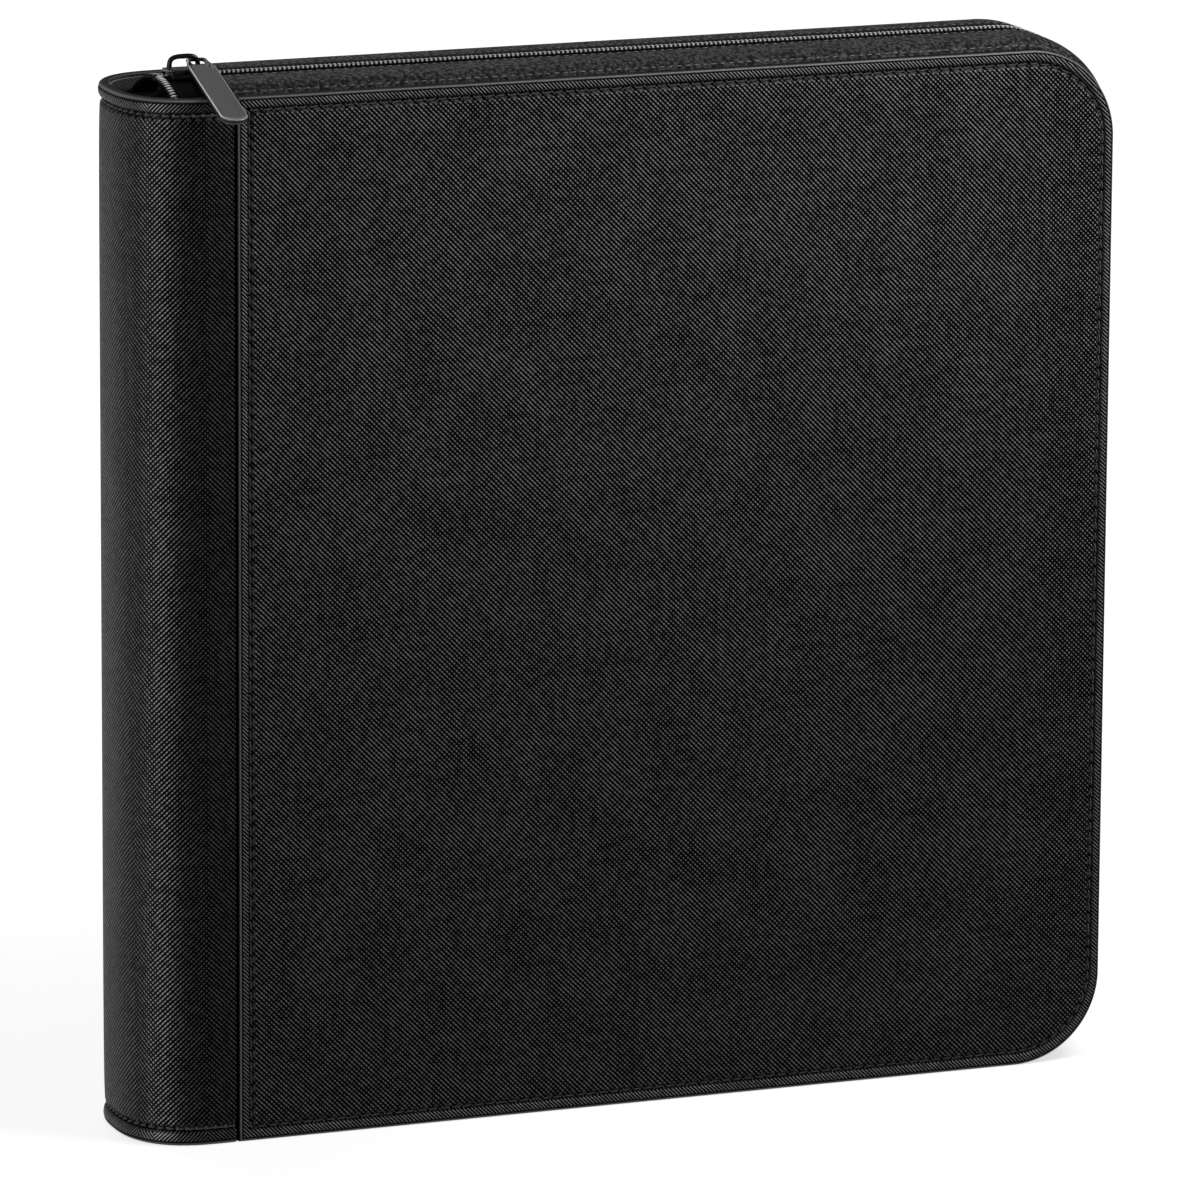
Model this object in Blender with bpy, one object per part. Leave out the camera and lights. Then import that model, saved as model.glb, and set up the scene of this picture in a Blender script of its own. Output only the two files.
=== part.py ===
"""Zip-around trading card binder, closed and standing on its bottom edge.

Metres, +Z up, front cover towards -Y, rounded spine towards -X.
The helpers below work in case coordinates: u runs from the seam to the fore edge, v from the
front cover's outer face to the back cover's, and z up from the bottom edge.
"""
import math

import bmesh
import bpy
from mathutils import Matrix, Vector

# Driving sizes
HEIGHT = 0.330            # case, bottom edge to top edge
COVER_WIDTH = 0.290       # seam to fore edge
THICKNESS = 0.056         # outer face to outer face
CORNER_RADIUS = 0.029     # the two fore corners of each cover
SPINE_BULGE = 0.034       # seam to the crown of the rounded spine
SPINE_STRAIGHT = 0.008    # straight stretch of the spine wall beside each seam
SPINE_POWER = 2.5         # exponent of the spine's superellipse
HINGE_INSET = 0.0025      # seam to the middle of the hinge groove, on the spine side
HINGE_GAP = 0.0006        # groove left between a cover and the spine
FIT = 0.0003              # clearance between layers that lie on each other

SKIN = 0.0010             # leather-look outer skin
COVER_BOARD = 0.0018      # stiff board inside a cover
SPINE_BOARD = 0.0016      # softer board inside the spine
LINING = 0.0006           # inner lining
RIM_WIDTH = 0.0050        # turned edge, outside the stitch groove
BAND_WIDTH = 0.0036       # seam band, between the hinge groove and the stitch groove
EDGE_ROUND = 0.0009       # rounding of the turned edge
GROOVE_WIDTH = 0.0012     # stitch groove
GROOVE_DEPTH = 0.0004

GUSSET = 0.0011           # soft gusset band
GUSSET_FLANGE = 0.0080    # stretch of the gusset sewn flat inside the rim
GUSSET_BEND = 0.0025      # inset from the cover's edge where the gusset turns to the zip
GUSSET_PROUD = 0.0026     # how far the gusset stands out past the covers' edges
GUSSET_SUNK = 0.0021      # how far it is pressed in along the bottom
GUSSET_POWER = 6          # how sharply it turns
ZIP_OPENING = 0.0110      # gap between the two gusset edges, which shows the tapes

TAPE = 0.0006             # zip tape
TAPE_WIDTH = 0.0082
COIL_WIDTH = 0.0024       # one row of teeth
COIL_HEIGHT = 0.0016
COIL_GAP = 0.0012         # between the two rows
TAPE_SET_BACK = 0.00024   # tape's edge behind the tips of its row
TAIL_STRAIGHT = 0.0165    # hinge groove to the mitre where the two tapes part
TAIL_CLEARANCE = 0.0180   # left between a tape's sewn end and the page binding

SLIDER_LENGTH = 0.0130
SLIDER_WIDTH = 0.0098
SLIDER_PLATE = 0.0010
SLIDER_LIP = 0.0014       # width of the lips that hold the rows together
SLIDER_POST = 0.0006      # thickness of the post between the rows
SLIDER_POST_LENGTH = 0.0030
SLIDER_HOME = 0.0095      # centre of the closed slider, from the seam
BAIL_SPAN = 0.0095        # between the centre lines of the bail's legs
BAIL_RISE = 0.0046        # slider plate to the bail's centre line
BAIL_WIRE = 0.0014
BAIL_POWER = 3.0

TAB_LENGTH = 0.0560       # eye to rounded tip
TAB_TURN = math.radians(5.5)   # the pull's lean towards the spine
TAB_WIDTH = 0.0086
TAB_THICKNESS = 0.0016
TAB_EYE_THICKNESS = 0.0010
TAB_EYE_WIDTH = 0.0044
TAB_EYE_BACK = 0.0015     # from the pull's hinge line to the back of the eye
TAB_EYE_FRONT = 0.0036    # and to the front of it
TAB_ARM = 0.0011          # metal round the eye
TAB_RISE = 0.0025         # hinge line above the slider plate
TAB_BEVEL = 0.0004

LEAVES = 20
LEAF_PITCH = 0.0022
LEAF_CORE = 0.0004        # sheet between the pockets
LEAF_POCKET = 0.0003      # height of a pocket on each side
LEAF_HEIGHT = 0.280
LEAF_MARGIN = 0.008       # flat strip beside the leaf's hinge
LEAF_HINGE = 0.010        # leaf hinge line, from the seam
LEAF_CLEARANCE = 0.0085   # leaf's free edge to the fore edge
POCKET_COLUMNS = 4
POCKET_ROWS = 3
POCKET_WELD = 0.0016      # weld line between pockets
STUB = 0.0007             # sewn stub that carries a leaf
BINDING = 0.0025          # strip that holds the stubs

ARC_STEPS = 8             # facets in a quarter turn of a corner
SPINE_STEPS = 20          # facets round the spine
GUSSET_STOPS = (0, 0.04, 0.10, 0.20, 0.40, 1)   # shares of the gusset's way to the zip
TAIL_STEPS = 5            # facets along the falling end of a tape
BAIL_STEPS, BAIL_SIDES = 12, 8
PLATE_CORNER_STEPS = 4

# Sizes that follow from them
MIDDLE = THICKNESS / 2
COVER_START = -HINGE_INSET + HINGE_GAP / 2
SPINE_START = -HINGE_INSET - HINGE_GAP / 2
BOARD_FACE = SKIN + FIT + COVER_BOARD
SPINE_BOARD_FACE = SKIN + FIT + SPINE_BOARD
SPINE_WALL = SPINE_BOARD_FACE + FIT + LINING
TAPE_TOP = -GUSSET / 2 - FIT            # below the gusset's centre line
COIL_BASE = TAPE_TOP + FIT
COIL_TOP = COIL_BASE + COIL_HEIGHT
COIL_EDGE = COIL_GAP / 2                # from the middle of the zip
TAPE_EDGE = COIL_EDGE + TAPE_SET_BACK
TAIL_DROP = (HEIGHT - LEAF_HEIGHT) / 2 - TAIL_CLEARANCE
PLATE_TOP = GUSSET_PROUD + COIL_TOP + FIT + SLIDER_PLATE
SLIDER_X = -SLIDER_HOME
TAB_X = SLIDER_X + BAIL_SPAN / 2 - FIT
TAB_Z = PLATE_TOP + TAB_RISE
TAB_FALL = math.atan2(TAB_Z - TAB_THICKNESS / 2 - 2 * FIT, MIDDLE)
TAB_TIP = TAB_LENGTH - TAB_EYE_BACK - TAB_ARM - TAB_WIDTH / 2
TAB_REACH = (TAB_TIP * math.cos(TAB_TURN) + TAB_WIDTH / 2) * math.cos(TAB_FALL)
TAB_OVERHANG = TAB_REACH - MIDDLE

# The origin is the bottom centre of the whole binder's box, pull tab included.
FORE_EDGE = COVER_WIDTH + GUSSET_PROUD + COIL_TOP
ORIGIN = Vector(((SPINE_BULGE - FORE_EDGE) / 2, (TAB_OVERHANG - THICKNESS) / 2, 0))

COLOURS = {
    "skin": ((0.020, 0.020, 0.021), 0.55, 0.0),
    "board": ((0.28, 0.25, 0.21), 0.9, 0.0),
    "lining": ((0.015, 0.015, 0.016), 0.85, 0.0),
    "gusset": ((0.018, 0.018, 0.019), 0.7, 0.0),
    "tape": ((0.010, 0.010, 0.011), 0.9, 0.0),
    "coil": ((0.030, 0.030, 0.032), 0.35, 0.0),
    "slider": ((0.060, 0.060, 0.064), 0.35, 0.8),
    "tab": ((0.075, 0.075, 0.080), 0.4, 0.6),
    "leaf": ((0.05, 0.05, 0.055), 0.3, 0.0),
    "binding": ((0.02, 0.02, 0.02), 0.8, 0.0),
}


def clear_scene():
    for obj in list(bpy.data.objects):
        bpy.data.objects.remove(obj)


def material(name, look):
    colour, roughness, metallic = COLOURS[look]
    result = bpy.data.materials.new(name)
    result.use_nodes = True
    shader = result.node_tree.nodes["Principled BSDF"]
    shader.inputs["Base Color"].default_value = (*colour, 1)
    shader.inputs["Roughness"].default_value = roughness
    shader.inputs["Metallic"].default_value = metallic
    return result


def add_object(name, bm, look, pivot=(0, 0, 0), smooth=True):
    """Make a named object from case-coordinate geometry, with its origin at the pivot."""
    bmesh.ops.recalc_face_normals(bm, faces=bm.faces)
    bmesh.ops.translate(bm, vec=-Vector(pivot), verts=bm.verts)
    mesh = bpy.data.meshes.new(name)
    bm.to_mesh(mesh)
    bm.free()
    if smooth:
        mesh.shade_smooth()
        mesh.set_sharp_from_angle(angle=math.radians(35))
    obj = bpy.data.objects.new(name, mesh)
    obj.location = ORIGIN + Vector(pivot)
    mesh.materials.append(material(name, look))
    bpy.context.collection.objects.link(obj)
    return obj


def loft(rings):
    """A closed body through rings of equal length, capped at the first and the last."""
    bm = bmesh.new()
    verts = [[bm.verts.new(point) for point in ring] for ring in rings]
    for lower, upper in zip(verts, verts[1:]):
        for i in range(len(lower)):
            j = (i + 1) % len(lower)
            bm.faces.new((lower[i], lower[j], upper[j], upper[i]))
    bm.faces.new(verts[0])
    bm.faces.new(verts[-1])
    return bm


def mirror_v(bm):
    """Turn a front piece into the back one, across the middle of the case."""
    for vert in bm.verts:
        vert.co.y = THICKNESS - vert.co.y
    return bm


# The covers' outline


def arc(centre, radius, start, stop, steps=ARC_STEPS):
    """Points of an arc in (u, z), from one angle to another."""
    turns = [start + (stop - start) * i / steps for i in range(steps + 1)]
    return [(centre[0] + radius * math.cos(a), centre[1] + radius * math.sin(a)) for a in turns]


def rim_line(inset):
    """The rim from the seam along the top, down the fore edge and back along the bottom."""
    radius = CORNER_RADIUS - inset
    corner_u = COVER_WIDTH - CORNER_RADIUS
    top = arc((corner_u, HEIGHT - CORNER_RADIUS), radius, math.pi / 2, 0)
    bottom = arc((corner_u, CORNER_RADIUS), radius, 0, -math.pi / 2)
    return [(COVER_START, HEIGHT - inset)] + top + bottom + [(COVER_START, inset)]


def seam_inset(inset):
    """Inset on the seam side, where the narrow band stands in for the rim."""
    return inset if inset < RIM_WIDTH else inset - RIM_WIDTH + BAND_WIDTH


def cover_ring(inset, depth):
    """The closed outline of a cover, at an inset from its edge and a depth from its face."""
    line = rim_line(inset)
    seam = COVER_START + seam_inset(inset)
    line[0] = (seam, line[0][1])
    line[-1] = (seam, line[-1][1])
    return [(u, depth, z) for u, z in line]


def edge_profile(depth):
    """(inset, depth) of a turned leather edge, from its inner corner out and over the groove."""
    round_in = EDGE_ROUND * (1 - math.sqrt(0.5))
    ramp = GROOVE_WIDTH / 4
    return [
        (SKIN, SKIN),
        (SKIN, depth),
        (0, depth),
        (0, EDGE_ROUND),
        (round_in, round_in),
        (EDGE_ROUND, 0),
        (RIM_WIDTH, 0),
        (RIM_WIDTH + ramp, GROOVE_DEPTH),
        (RIM_WIDTH + GROOVE_WIDTH - ramp, GROOVE_DEPTH),
        (RIM_WIDTH + GROOVE_WIDTH, 0),
    ]


def cover_skin():
    return loft([cover_ring(*point) for point in edge_profile(BOARD_FACE)])


def cover_plate(inset, face, thickness):
    """A flat layer inside a cover."""
    return loft([cover_ring(inset, face), cover_ring(inset, face + thickness)])


# The gusset, tape and teeth along the rim


def gusset_rise(v, proud):
    """Height of the gusset's centre line past the cover's edge, at a depth v into the case."""
    start = BOARD_FACE + FIT + GUSSET / 2
    t = (v - start) / (MIDDLE - ZIP_OPENING / 2 - start)
    return -GUSSET_BEND + (proud + GUSSET_BEND) * (1 - (1 - t) ** GUSSET_POWER)


def gusset_section(proud):
    """Closed section (v, height) of the gusset: flat under the rim, then out to the zip."""
    start = BOARD_FACE + FIT + GUSSET / 2
    reach = MIDDLE - ZIP_OPENING / 2 - start
    line = [(start, -GUSSET_FLANGE)]
    line += [(start + t * reach, gusset_rise(start + t * reach, proud)) for t in GUSSET_STOPS]
    outer, inner = [], []
    for i, (v, h) in enumerate(line):
        before = line[max(i - 1, 0)]
        after = line[min(i + 1, len(line) - 1)]
        along = Vector((after[0] - before[0], after[1] - before[1])).normalized()
        side = Vector((-along.y, along.x)) * (GUSSET / 2)
        outer.append((max(v + side.x, BOARD_FACE + FIT), h + side.y))
        inner.append((v - side.x, h - side.y))
    return outer + inner[::-1]


def tape_section(proud):
    """Closed section of a tape, from under the gusset to the row of teeth."""
    edge = MIDDLE - TAPE_EDGE
    top = proud + TAPE_TOP
    return [(edge - TAPE_WIDTH, top), (edge, top), (edge, top - TAPE), (edge - TAPE_WIDTH, top - TAPE)]


def coil_section(proud):
    """Closed section of one row of teeth, with its corners taken off."""
    near = MIDDLE - COIL_EDGE
    far = near - COIL_WIDTH
    low = proud + COIL_BASE
    high = low + COIL_HEIGHT
    cut = COIL_HEIGHT / 3
    return [(far, low), (far, high - cut), (far + cut, high),
            (near - cut, high), (near, high - cut), (near, low)]


def along_rim(section):
    """Sweep a (v, height) section round the three open sides of a cover."""
    line = rim_line(0)
    corner = ARC_STEPS + 1
    rings = []
    for i, (u, z) in enumerate(line):
        turn = math.pi / 2 - (math.pi / 2) * min(max(i - 1, 0), ARC_STEPS) / ARC_STEPS
        lower = min(max(i - 1 - corner, 0), ARC_STEPS) / ARC_STEPS
        turn -= math.pi / 2 * lower
        proud = GUSSET_PROUD - (GUSSET_PROUD + GUSSET_SUNK) * lower
        out = Vector((math.cos(turn), math.sin(turn)))
        rings.append([(u + h * out.x, v, z + h * out.y) for v, h in section(proud)])
    return loft(rings)


def tail_section(proud):
    """Closed section of the zip's end: tape and teeth in one."""
    tape = tape_section(proud)
    coil = coil_section(proud)
    low = (coil[0][0], tape[0][1])
    return [tape[0], low] + coil[1:-1] + [(coil[-1][0], tape[2][1]), tape[3]]


def zip_tail(top):
    """End of the zip on the spine: straight for the slider, then mitred towards the front wall
    and falling to it, where it is sewn to the lining."""
    section = tail_section(GUSSET_PROUD if top else -GUSSET_SUNK)
    sign = 1 if top else -1
    edge = HEIGHT if top else 0
    fold = SPINE_START - TAIL_STRAIGHT + MIDDLE     # less v gives u on the mitre line
    rings = [[(SPINE_START, v, edge + sign * h) for v, h in section]]
    for i in range(TAIL_STEPS + 1):
        t = i / TAIL_STEPS
        ring = []
        for v, h in section:
            wall = spine_side(fold - v, SPINE_WALL + FIT)
            ring.append((fold - v, v + (wall - v) * t, edge + sign * (h - TAIL_DROP * t ** 2)))
        rings.append(ring)
    return loft(rings)


# The spine


def spine_point(t, inset):
    """Point (u, v) on the spine's plan curve, t from 0 at the front to 1 at the back."""
    reach = SPINE_BULGE - SPINE_STRAIGHT - inset
    angle = math.pi * (t - 0.5)
    u = -SPINE_STRAIGHT - reach * abs(math.cos(angle)) ** (2 / SPINE_POWER)
    side = abs(math.sin(angle)) ** (2 / SPINE_POWER)
    v = MIDDLE + (MIDDLE - inset) * math.copysign(side, angle)
    return (u, v)


def spine_back(v, inset):
    """Point on the same curve at a given depth v."""
    reach = SPINE_BULGE - SPINE_STRAIGHT - inset
    side = min(abs(v - MIDDLE) / (MIDDLE - inset), 1)
    return (-SPINE_STRAIGHT - reach * (1 - side ** SPINE_POWER) ** (1 / SPINE_POWER), v)


def spine_side(u, inset):
    """Depth v of the same curve's front half at a given u."""
    reach = SPINE_BULGE - SPINE_STRAIGHT - inset
    back = min(max(-SPINE_STRAIGHT - u, 0) / reach, 1)
    return MIDDLE - (MIDDLE - inset) * (1 - back ** SPINE_POWER) ** (1 / SPINE_POWER)


def spine_line(inset):
    """The spine's plan curve from seam to seam, straight beside each seam."""
    turns = [0.5 - 0.5 * math.cos(math.pi * i / SPINE_STEPS) for i in range(SPINE_STEPS + 1)]
    curve = [spine_point(t, inset) for t in turns]
    return [(SPINE_START, inset)] + curve + [(SPINE_START, THICKNESS - inset)]


def spine_sweep(section):
    """Sweep a (inset, z) section round the spine's plan curve."""
    lines = [spine_line(inset) for inset, z in section]
    rings = [[(*point, z) for point, (_, z) in zip(stop, section)] for stop in zip(*lines)]
    return loft(rings)


def spine_skin():
    """The spine's skin, turned over the board at the top and bottom, with a stitch groove at each."""
    profile = edge_profile(SPINE_BOARD_FACE)
    top = [(depth, HEIGHT - inset) for inset, depth in profile]
    bottom = [(depth, inset) for inset, depth in profile]
    return spine_sweep(top + bottom[::-1])


def spine_layer(face, thickness, inset):
    back = face + thickness
    top = HEIGHT - inset
    return spine_sweep([(face, inset), (back, inset), (back, top), (face, top)])


# Leaves and the binding that holds them


def leaf_v(index):
    """Depth of a leaf in the case, counted from the front."""
    return MIDDLE + (index - (LEAVES - 1) / 2) * LEAF_PITCH


def page_binding():
    """A strip on the spine's lining with one stub for each leaf."""
    first = leaf_v(0) - LEAF_PITCH / 2
    last = leaf_v(LEAVES - 1) + LEAF_PITCH / 2
    depths = [first + (last - first) * i / SPINE_STEPS for i in range(SPINE_STEPS + 1)]
    back = [spine_back(v, SPINE_WALL + FIT) for v in depths]
    tip = LEAF_HINGE - LEAF_CORE / 2 - FIT
    front = []
    for i in reversed(range(LEAVES)):
        for side in (STUB / 2, -STUB / 2):
            v = leaf_v(i) + side
            root = spine_back(v, SPINE_WALL + FIT + BINDING)
            front += [root, (tip, v)] if side > 0 else [(tip, v), root]
    low = (HEIGHT - LEAF_HEIGHT) / 2
    return loft([[(u, v, z) for u, v in back + front] for z in (low, low + LEAF_HEIGHT)])


def leaf_cuts():
    """Grid lines of a leaf along its width and height, round every pocket."""
    width = COVER_WIDTH - LEAF_CLEARANCE - LEAF_HINGE
    cell_w = (width - LEAF_MARGIN) / POCKET_COLUMNS
    cell_h = LEAF_HEIGHT / POCKET_ROWS
    across, up = [FIT], [0]
    for c in range(POCKET_COLUMNS):
        left = LEAF_MARGIN + c * cell_w
        across += [left + POCKET_WELD / 2, left + cell_w - POCKET_WELD / 2]
    for r in range(POCKET_ROWS):
        up += [r * cell_h + POCKET_WELD / 2, (r + 1) * cell_h - POCKET_WELD / 2]
    return across + [width], up + [LEAF_HEIGHT]


def leaf_mesh():
    """One leaf about its hinge line: a thin sheet with a raised pocket in each grid cell."""
    across, up = leaf_cuts()
    bm = bmesh.new()
    half = LEAF_CORE / 2
    grid = {}
    for side in (-1, 1):
        for i, x in enumerate(across):
            for j, z in enumerate(up):
                grid[side, i, j] = bm.verts.new((x, side * half, z))
    pockets = []
    for side in (-1, 1):
        for i in range(len(across) - 1):
            for j in range(len(up) - 1):
                corners = ((i, j), (i + 1, j), (i + 1, j + 1), (i, j + 1))
                quad = [grid[side, *corner] for corner in corners]
                face = bm.faces.new(quad if side < 0 else quad[::-1])
                if i % 2 and j % 2:
                    pockets.append(face)
    last_i, last_j = len(across) - 1, len(up) - 1
    border = [(i, 0) for i in range(last_i)] + [(last_i, j) for j in range(last_j)]
    border += [(i, last_j) for i in range(last_i, 0, -1)] + [(0, j) for j in range(last_j, 0, -1)]
    for a, b in zip(border, border[1:] + border[:1]):
        bm.faces.new((grid[-1, *b], grid[-1, *a], grid[1, *a], grid[1, *b]))
    raised = bmesh.ops.extrude_discrete_faces(bm, faces=pockets)["faces"]
    for face in raised:
        side = math.copysign(LEAF_POCKET, face.calc_center_median().y)
        bmesh.ops.translate(bm, vec=(0, side, 0), verts=face.verts)
    flat = [f for f in bm.faces if f not in raised and abs(f.normal.y) > 0.5]
    edges = {e for f in flat for e in f.edges if sum(g in flat for g in e.link_faces) == 2}
    across_leaf = [e for e in edges if abs(e.verts[0].co.x - e.verts[1].co.x) > FIT]
    merge = [e for e in across_leaf if not hides_pocket(e, across)]
    bmesh.ops.dissolve_edges(bm, edges=merge, use_verts=False)
    return bm


def hides_pocket(edge, across):
    """True for the grid edges that must stay, so that no face surrounds a pocket."""
    middle = (edge.verts[0].co.x + edge.verts[1].co.x) / 2
    column = sum(1 for x in across if x < middle) - 1
    return bool(column % 2)


# Slider, bail and pull tab


def rounded_plate(length, width, radius):
    """Plan outline (x, y) of a plate with rounded corners, about its centre."""
    points = []
    for k in range(4):
        centre_x = (length / 2 - radius) * (1 if k in (0, 3) else -1)
        centre_y = (width / 2 - radius) * (1 if k in (0, 1) else -1)
        quarter = math.pi / 2
        points += arc((centre_x, centre_y), radius, k * quarter, (k + 1) * quarter, PLATE_CORNER_STEPS)
    return points


def plan_prism(outline, low, high, centre, bevel=0):
    """Extrude a plan outline between two heights, with an optional bevel round its top."""
    rings = [[(centre[0] + x, centre[1] + y, low) for x, y in outline]]
    rings.append([(centre[0] + x, centre[1] + y, high - bevel) for x, y in outline])
    if bevel:
        mid = Vector((sum(p[0] for p in outline), sum(p[1] for p in outline))) / len(outline)
        inner = []
        for point in outline:
            away = Vector(point) - mid
            inner.append(mid + away * (1 - bevel / away.length))
        rings.append([(centre[0] + p.x, centre[1] + p.y, high) for p in inner])
    return loft(rings)


def combine(obj, bm, operation):
    """Join or cut with a helper body that is left out of the model."""
    tool = add_object(f"{obj.name}_{operation.lower()}_{len(obj.modifiers)}", bm, "slider")
    tool.hide_render = True
    tool.display_type = "WIRE"
    boolean = obj.modifiers.new(operation.title(), "BOOLEAN")
    boolean.operation = operation
    boolean.solver = "EXACT"
    boolean.object = tool


def slider_body():
    """Two plates joined by a post; the top one has lips round the rows of teeth."""
    centre = (SLIDER_X, MIDDLE)
    plan = rounded_plate(SLIDER_LENGTH, SLIDER_WIDTH, SLIDER_WIDTH / 3)
    tape_face = HEIGHT + GUSSET_PROUD + TAPE_TOP
    lip_low = tape_face + 2 * FIT
    channel_top = HEIGHT + PLATE_TOP - SLIDER_PLATE
    floor_top = tape_face - TAPE - FIT
    top = plan_prism(plan, lip_low, HEIGHT + PLATE_TOP, centre, TAB_BEVEL)
    body = add_object("slider_body", top, "slider")
    channel = SLIDER_WIDTH / 2 - SLIDER_LIP
    box = [(x * SLIDER_LENGTH, y * channel) for x, y in ((-1, -1), (1, -1), (1, 1), (-1, 1))]
    combine(body, plan_prism(box, lip_low - SLIDER_PLATE, channel_top, centre), "DIFFERENCE")
    post = rounded_plate(SLIDER_POST_LENGTH, SLIDER_POST, SLIDER_POST / 2.5)
    nose = (SLIDER_X - SLIDER_LENGTH / 2 + SLIDER_POST_LENGTH, MIDDLE)
    overlap = SLIDER_PLATE / 2
    combine(body, plan_prism(post, floor_top - overlap, channel_top + overlap, nose), "UNION")
    combine(body, plan_prism(plan, floor_top - SLIDER_PLATE, floor_top, centre), "UNION")


def slider_bail():
    """A wire arch along the zip, standing on the slider's top plate."""
    low = HEIGHT + PLATE_TOP + FIT
    rise = BAIL_RISE - FIT
    line = []
    for i in range(BAIL_STEPS + 1):
        a = math.pi * i / BAIL_STEPS
        x = BAIL_SPAN / 2 * math.copysign(abs(math.cos(a)) ** (2 / BAIL_POWER), math.cos(a))
        line.append(Vector((SLIDER_X + x, MIDDLE, low + rise * math.sin(a) ** (2 / BAIL_POWER))))
    rings = []
    aside = Vector((0, 1, 0))
    for i, point in enumerate(line):
        along = line[min(i + 1, BAIL_STEPS)] - line[max(i - 1, 0)]
        if i in (0, BAIL_STEPS):
            along = Vector((0, 0, 1 if i == 0 else -1))
        across = aside.cross(along.normalized())
        ring = []
        for k in range(BAIL_SIDES):
            a = 2 * math.pi * (k + 0.5) / BAIL_SIDES
            ring.append(point + BAIL_WIRE / 2 * (math.cos(a) * across + math.sin(a) * aside))
        rings.append(ring)
    return loft(rings)


def tab_outline(margin):
    """Half-open outline of the pull tab (x across, s along it), drawn in by a margin."""
    half = TAB_WIDTH / 2 - margin
    neck = TAB_EYE_WIDTH / 2 + TAB_ARM - margin
    back = -TAB_EYE_BACK - TAB_ARM + margin
    shoulder = TAB_EYE_FRONT + 2 * TAB_ARM
    tip = arc((0, TAB_TIP), half, 0, math.pi, 2 * ARC_STEPS)
    return [(neck, back), (neck, TAB_EYE_FRONT - TAB_ARM), (half, shoulder)] + tip + [
        (-half, shoulder), (-neck, TAB_EYE_FRONT - TAB_ARM), (-neck, back)]


def pull_tab():
    """A flat metal pull with a rounded tip, and an eye that the bail's leg passes through."""
    half = TAB_THICKNESS / 2
    eye_half = TAB_EYE_THICKNESS / 2
    levels = [(-half, TAB_BEVEL), (-half + TAB_BEVEL, 0), (half - TAB_BEVEL, 0), (half, TAB_BEVEL)]
    rings = []
    for height, margin in levels:
        limit = math.copysign(min(abs(height), eye_half), height)
        ring = []
        for x, s in tab_outline(margin):
            near_eye = s < TAB_EYE_FRONT + TAB_ARM
            ring.append((x, -s, limit if near_eye else height))
        rings.append(ring)
    bm = loft(rings)
    pivot = Vector((TAB_X, MIDDLE, HEIGHT + TAB_Z))
    lean, fall = Matrix.Rotation(-TAB_TURN, 4, "Z"), Matrix.Rotation(TAB_FALL, 4, "X")
    pose = Matrix.Translation(pivot) @ lean @ fall
    bmesh.ops.transform(bm, matrix=pose, verts=bm.verts)
    tab = add_object("pull_tab", bm, "tab", pivot)
    eye = rounded_plate(TAB_EYE_WIDTH, TAB_EYE_BACK + TAB_EYE_FRONT, TAB_EYE_BACK / 2)
    middle = (TAB_EYE_BACK - TAB_EYE_FRONT) / 2
    hole = plan_prism([(x, y + middle) for x, y in eye], -TAB_THICKNESS, TAB_THICKNESS, (0, 0))
    bmesh.ops.transform(hole, matrix=pose, verts=hole.verts)
    combine(tab, hole, "DIFFERENCE")


# Assembly


def build_spine():
    add_object("spine_cover", spine_skin(), "skin")
    add_object("spine_board", spine_layer(SKIN + FIT, SPINE_BOARD, SKIN + FIT), "board")
    add_object("spine_lining", spine_layer(SPINE_BOARD_FACE + FIT, LINING, SKIN + FIT), "lining")
    add_object("page_binding", page_binding(), "binding")
    for end, top in (("top", True), ("bottom", False)):
        add_object(f"front_{end}_zip_tail", zip_tail(top), "tape")
        add_object(f"back_{end}_zip_tail", mirror_v(zip_tail(top)), "tape")


def build_case(side):
    """One cover with its gusset, tape and teeth, hinged on the groove's outer edge."""
    flip = mirror_v if side == "back" else (lambda bm: bm)
    hinge = (-HINGE_INSET, THICKNESS if side == "back" else 0, 0)
    lining_inset = GUSSET_FLANGE + FIT
    pieces = (
        ("cover", cover_skin(), "skin"),
        ("board", cover_plate(SKIN + FIT, SKIN + FIT, COVER_BOARD), "board"),
        ("lining", cover_plate(lining_inset, BOARD_FACE + FIT, LINING), "lining"),
        ("gusset", along_rim(gusset_section), "gusset"),
        ("zip_tape", along_rim(tape_section), "tape"),
        ("zip_coil", along_rim(coil_section), "coil"),
    )
    for piece, bm, look in pieces:
        add_object(f"{side}_{piece}", flip(bm), look, hinge)


def build_leaves():
    bm = leaf_mesh()
    low = (HEIGHT - LEAF_HEIGHT) / 2
    first = add_object("leaf_01", bm, "leaf", smooth=False)
    for i in range(LEAVES):
        leaf = first if i == 0 else bpy.data.objects.new(f"leaf_{i + 1:02d}", first.data)
        leaf.location = ORIGIN + Vector((LEAF_HINGE, leaf_v(i), low))
        if i:
            bpy.context.collection.objects.link(leaf)


def build():
    clear_scene()
    build_spine()
    build_case("front")
    build_case("back")
    slider_body()
    add_object("slider_bail", slider_bail(), "slider")
    pull_tab()
    build_leaves()


build()
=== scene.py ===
# %% [markdown]
# # A zip-round card binder in black cross-grain leatherette
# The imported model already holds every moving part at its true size. This lesson dresses it:
# each cell makes one piece of the real binder, or one of its finishes.
# The frame is loaded first, because every new piece is measured from it.

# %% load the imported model
import math

import bmesh
import bpy
import numpy as np
from mathutils import Matrix, Vector


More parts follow.
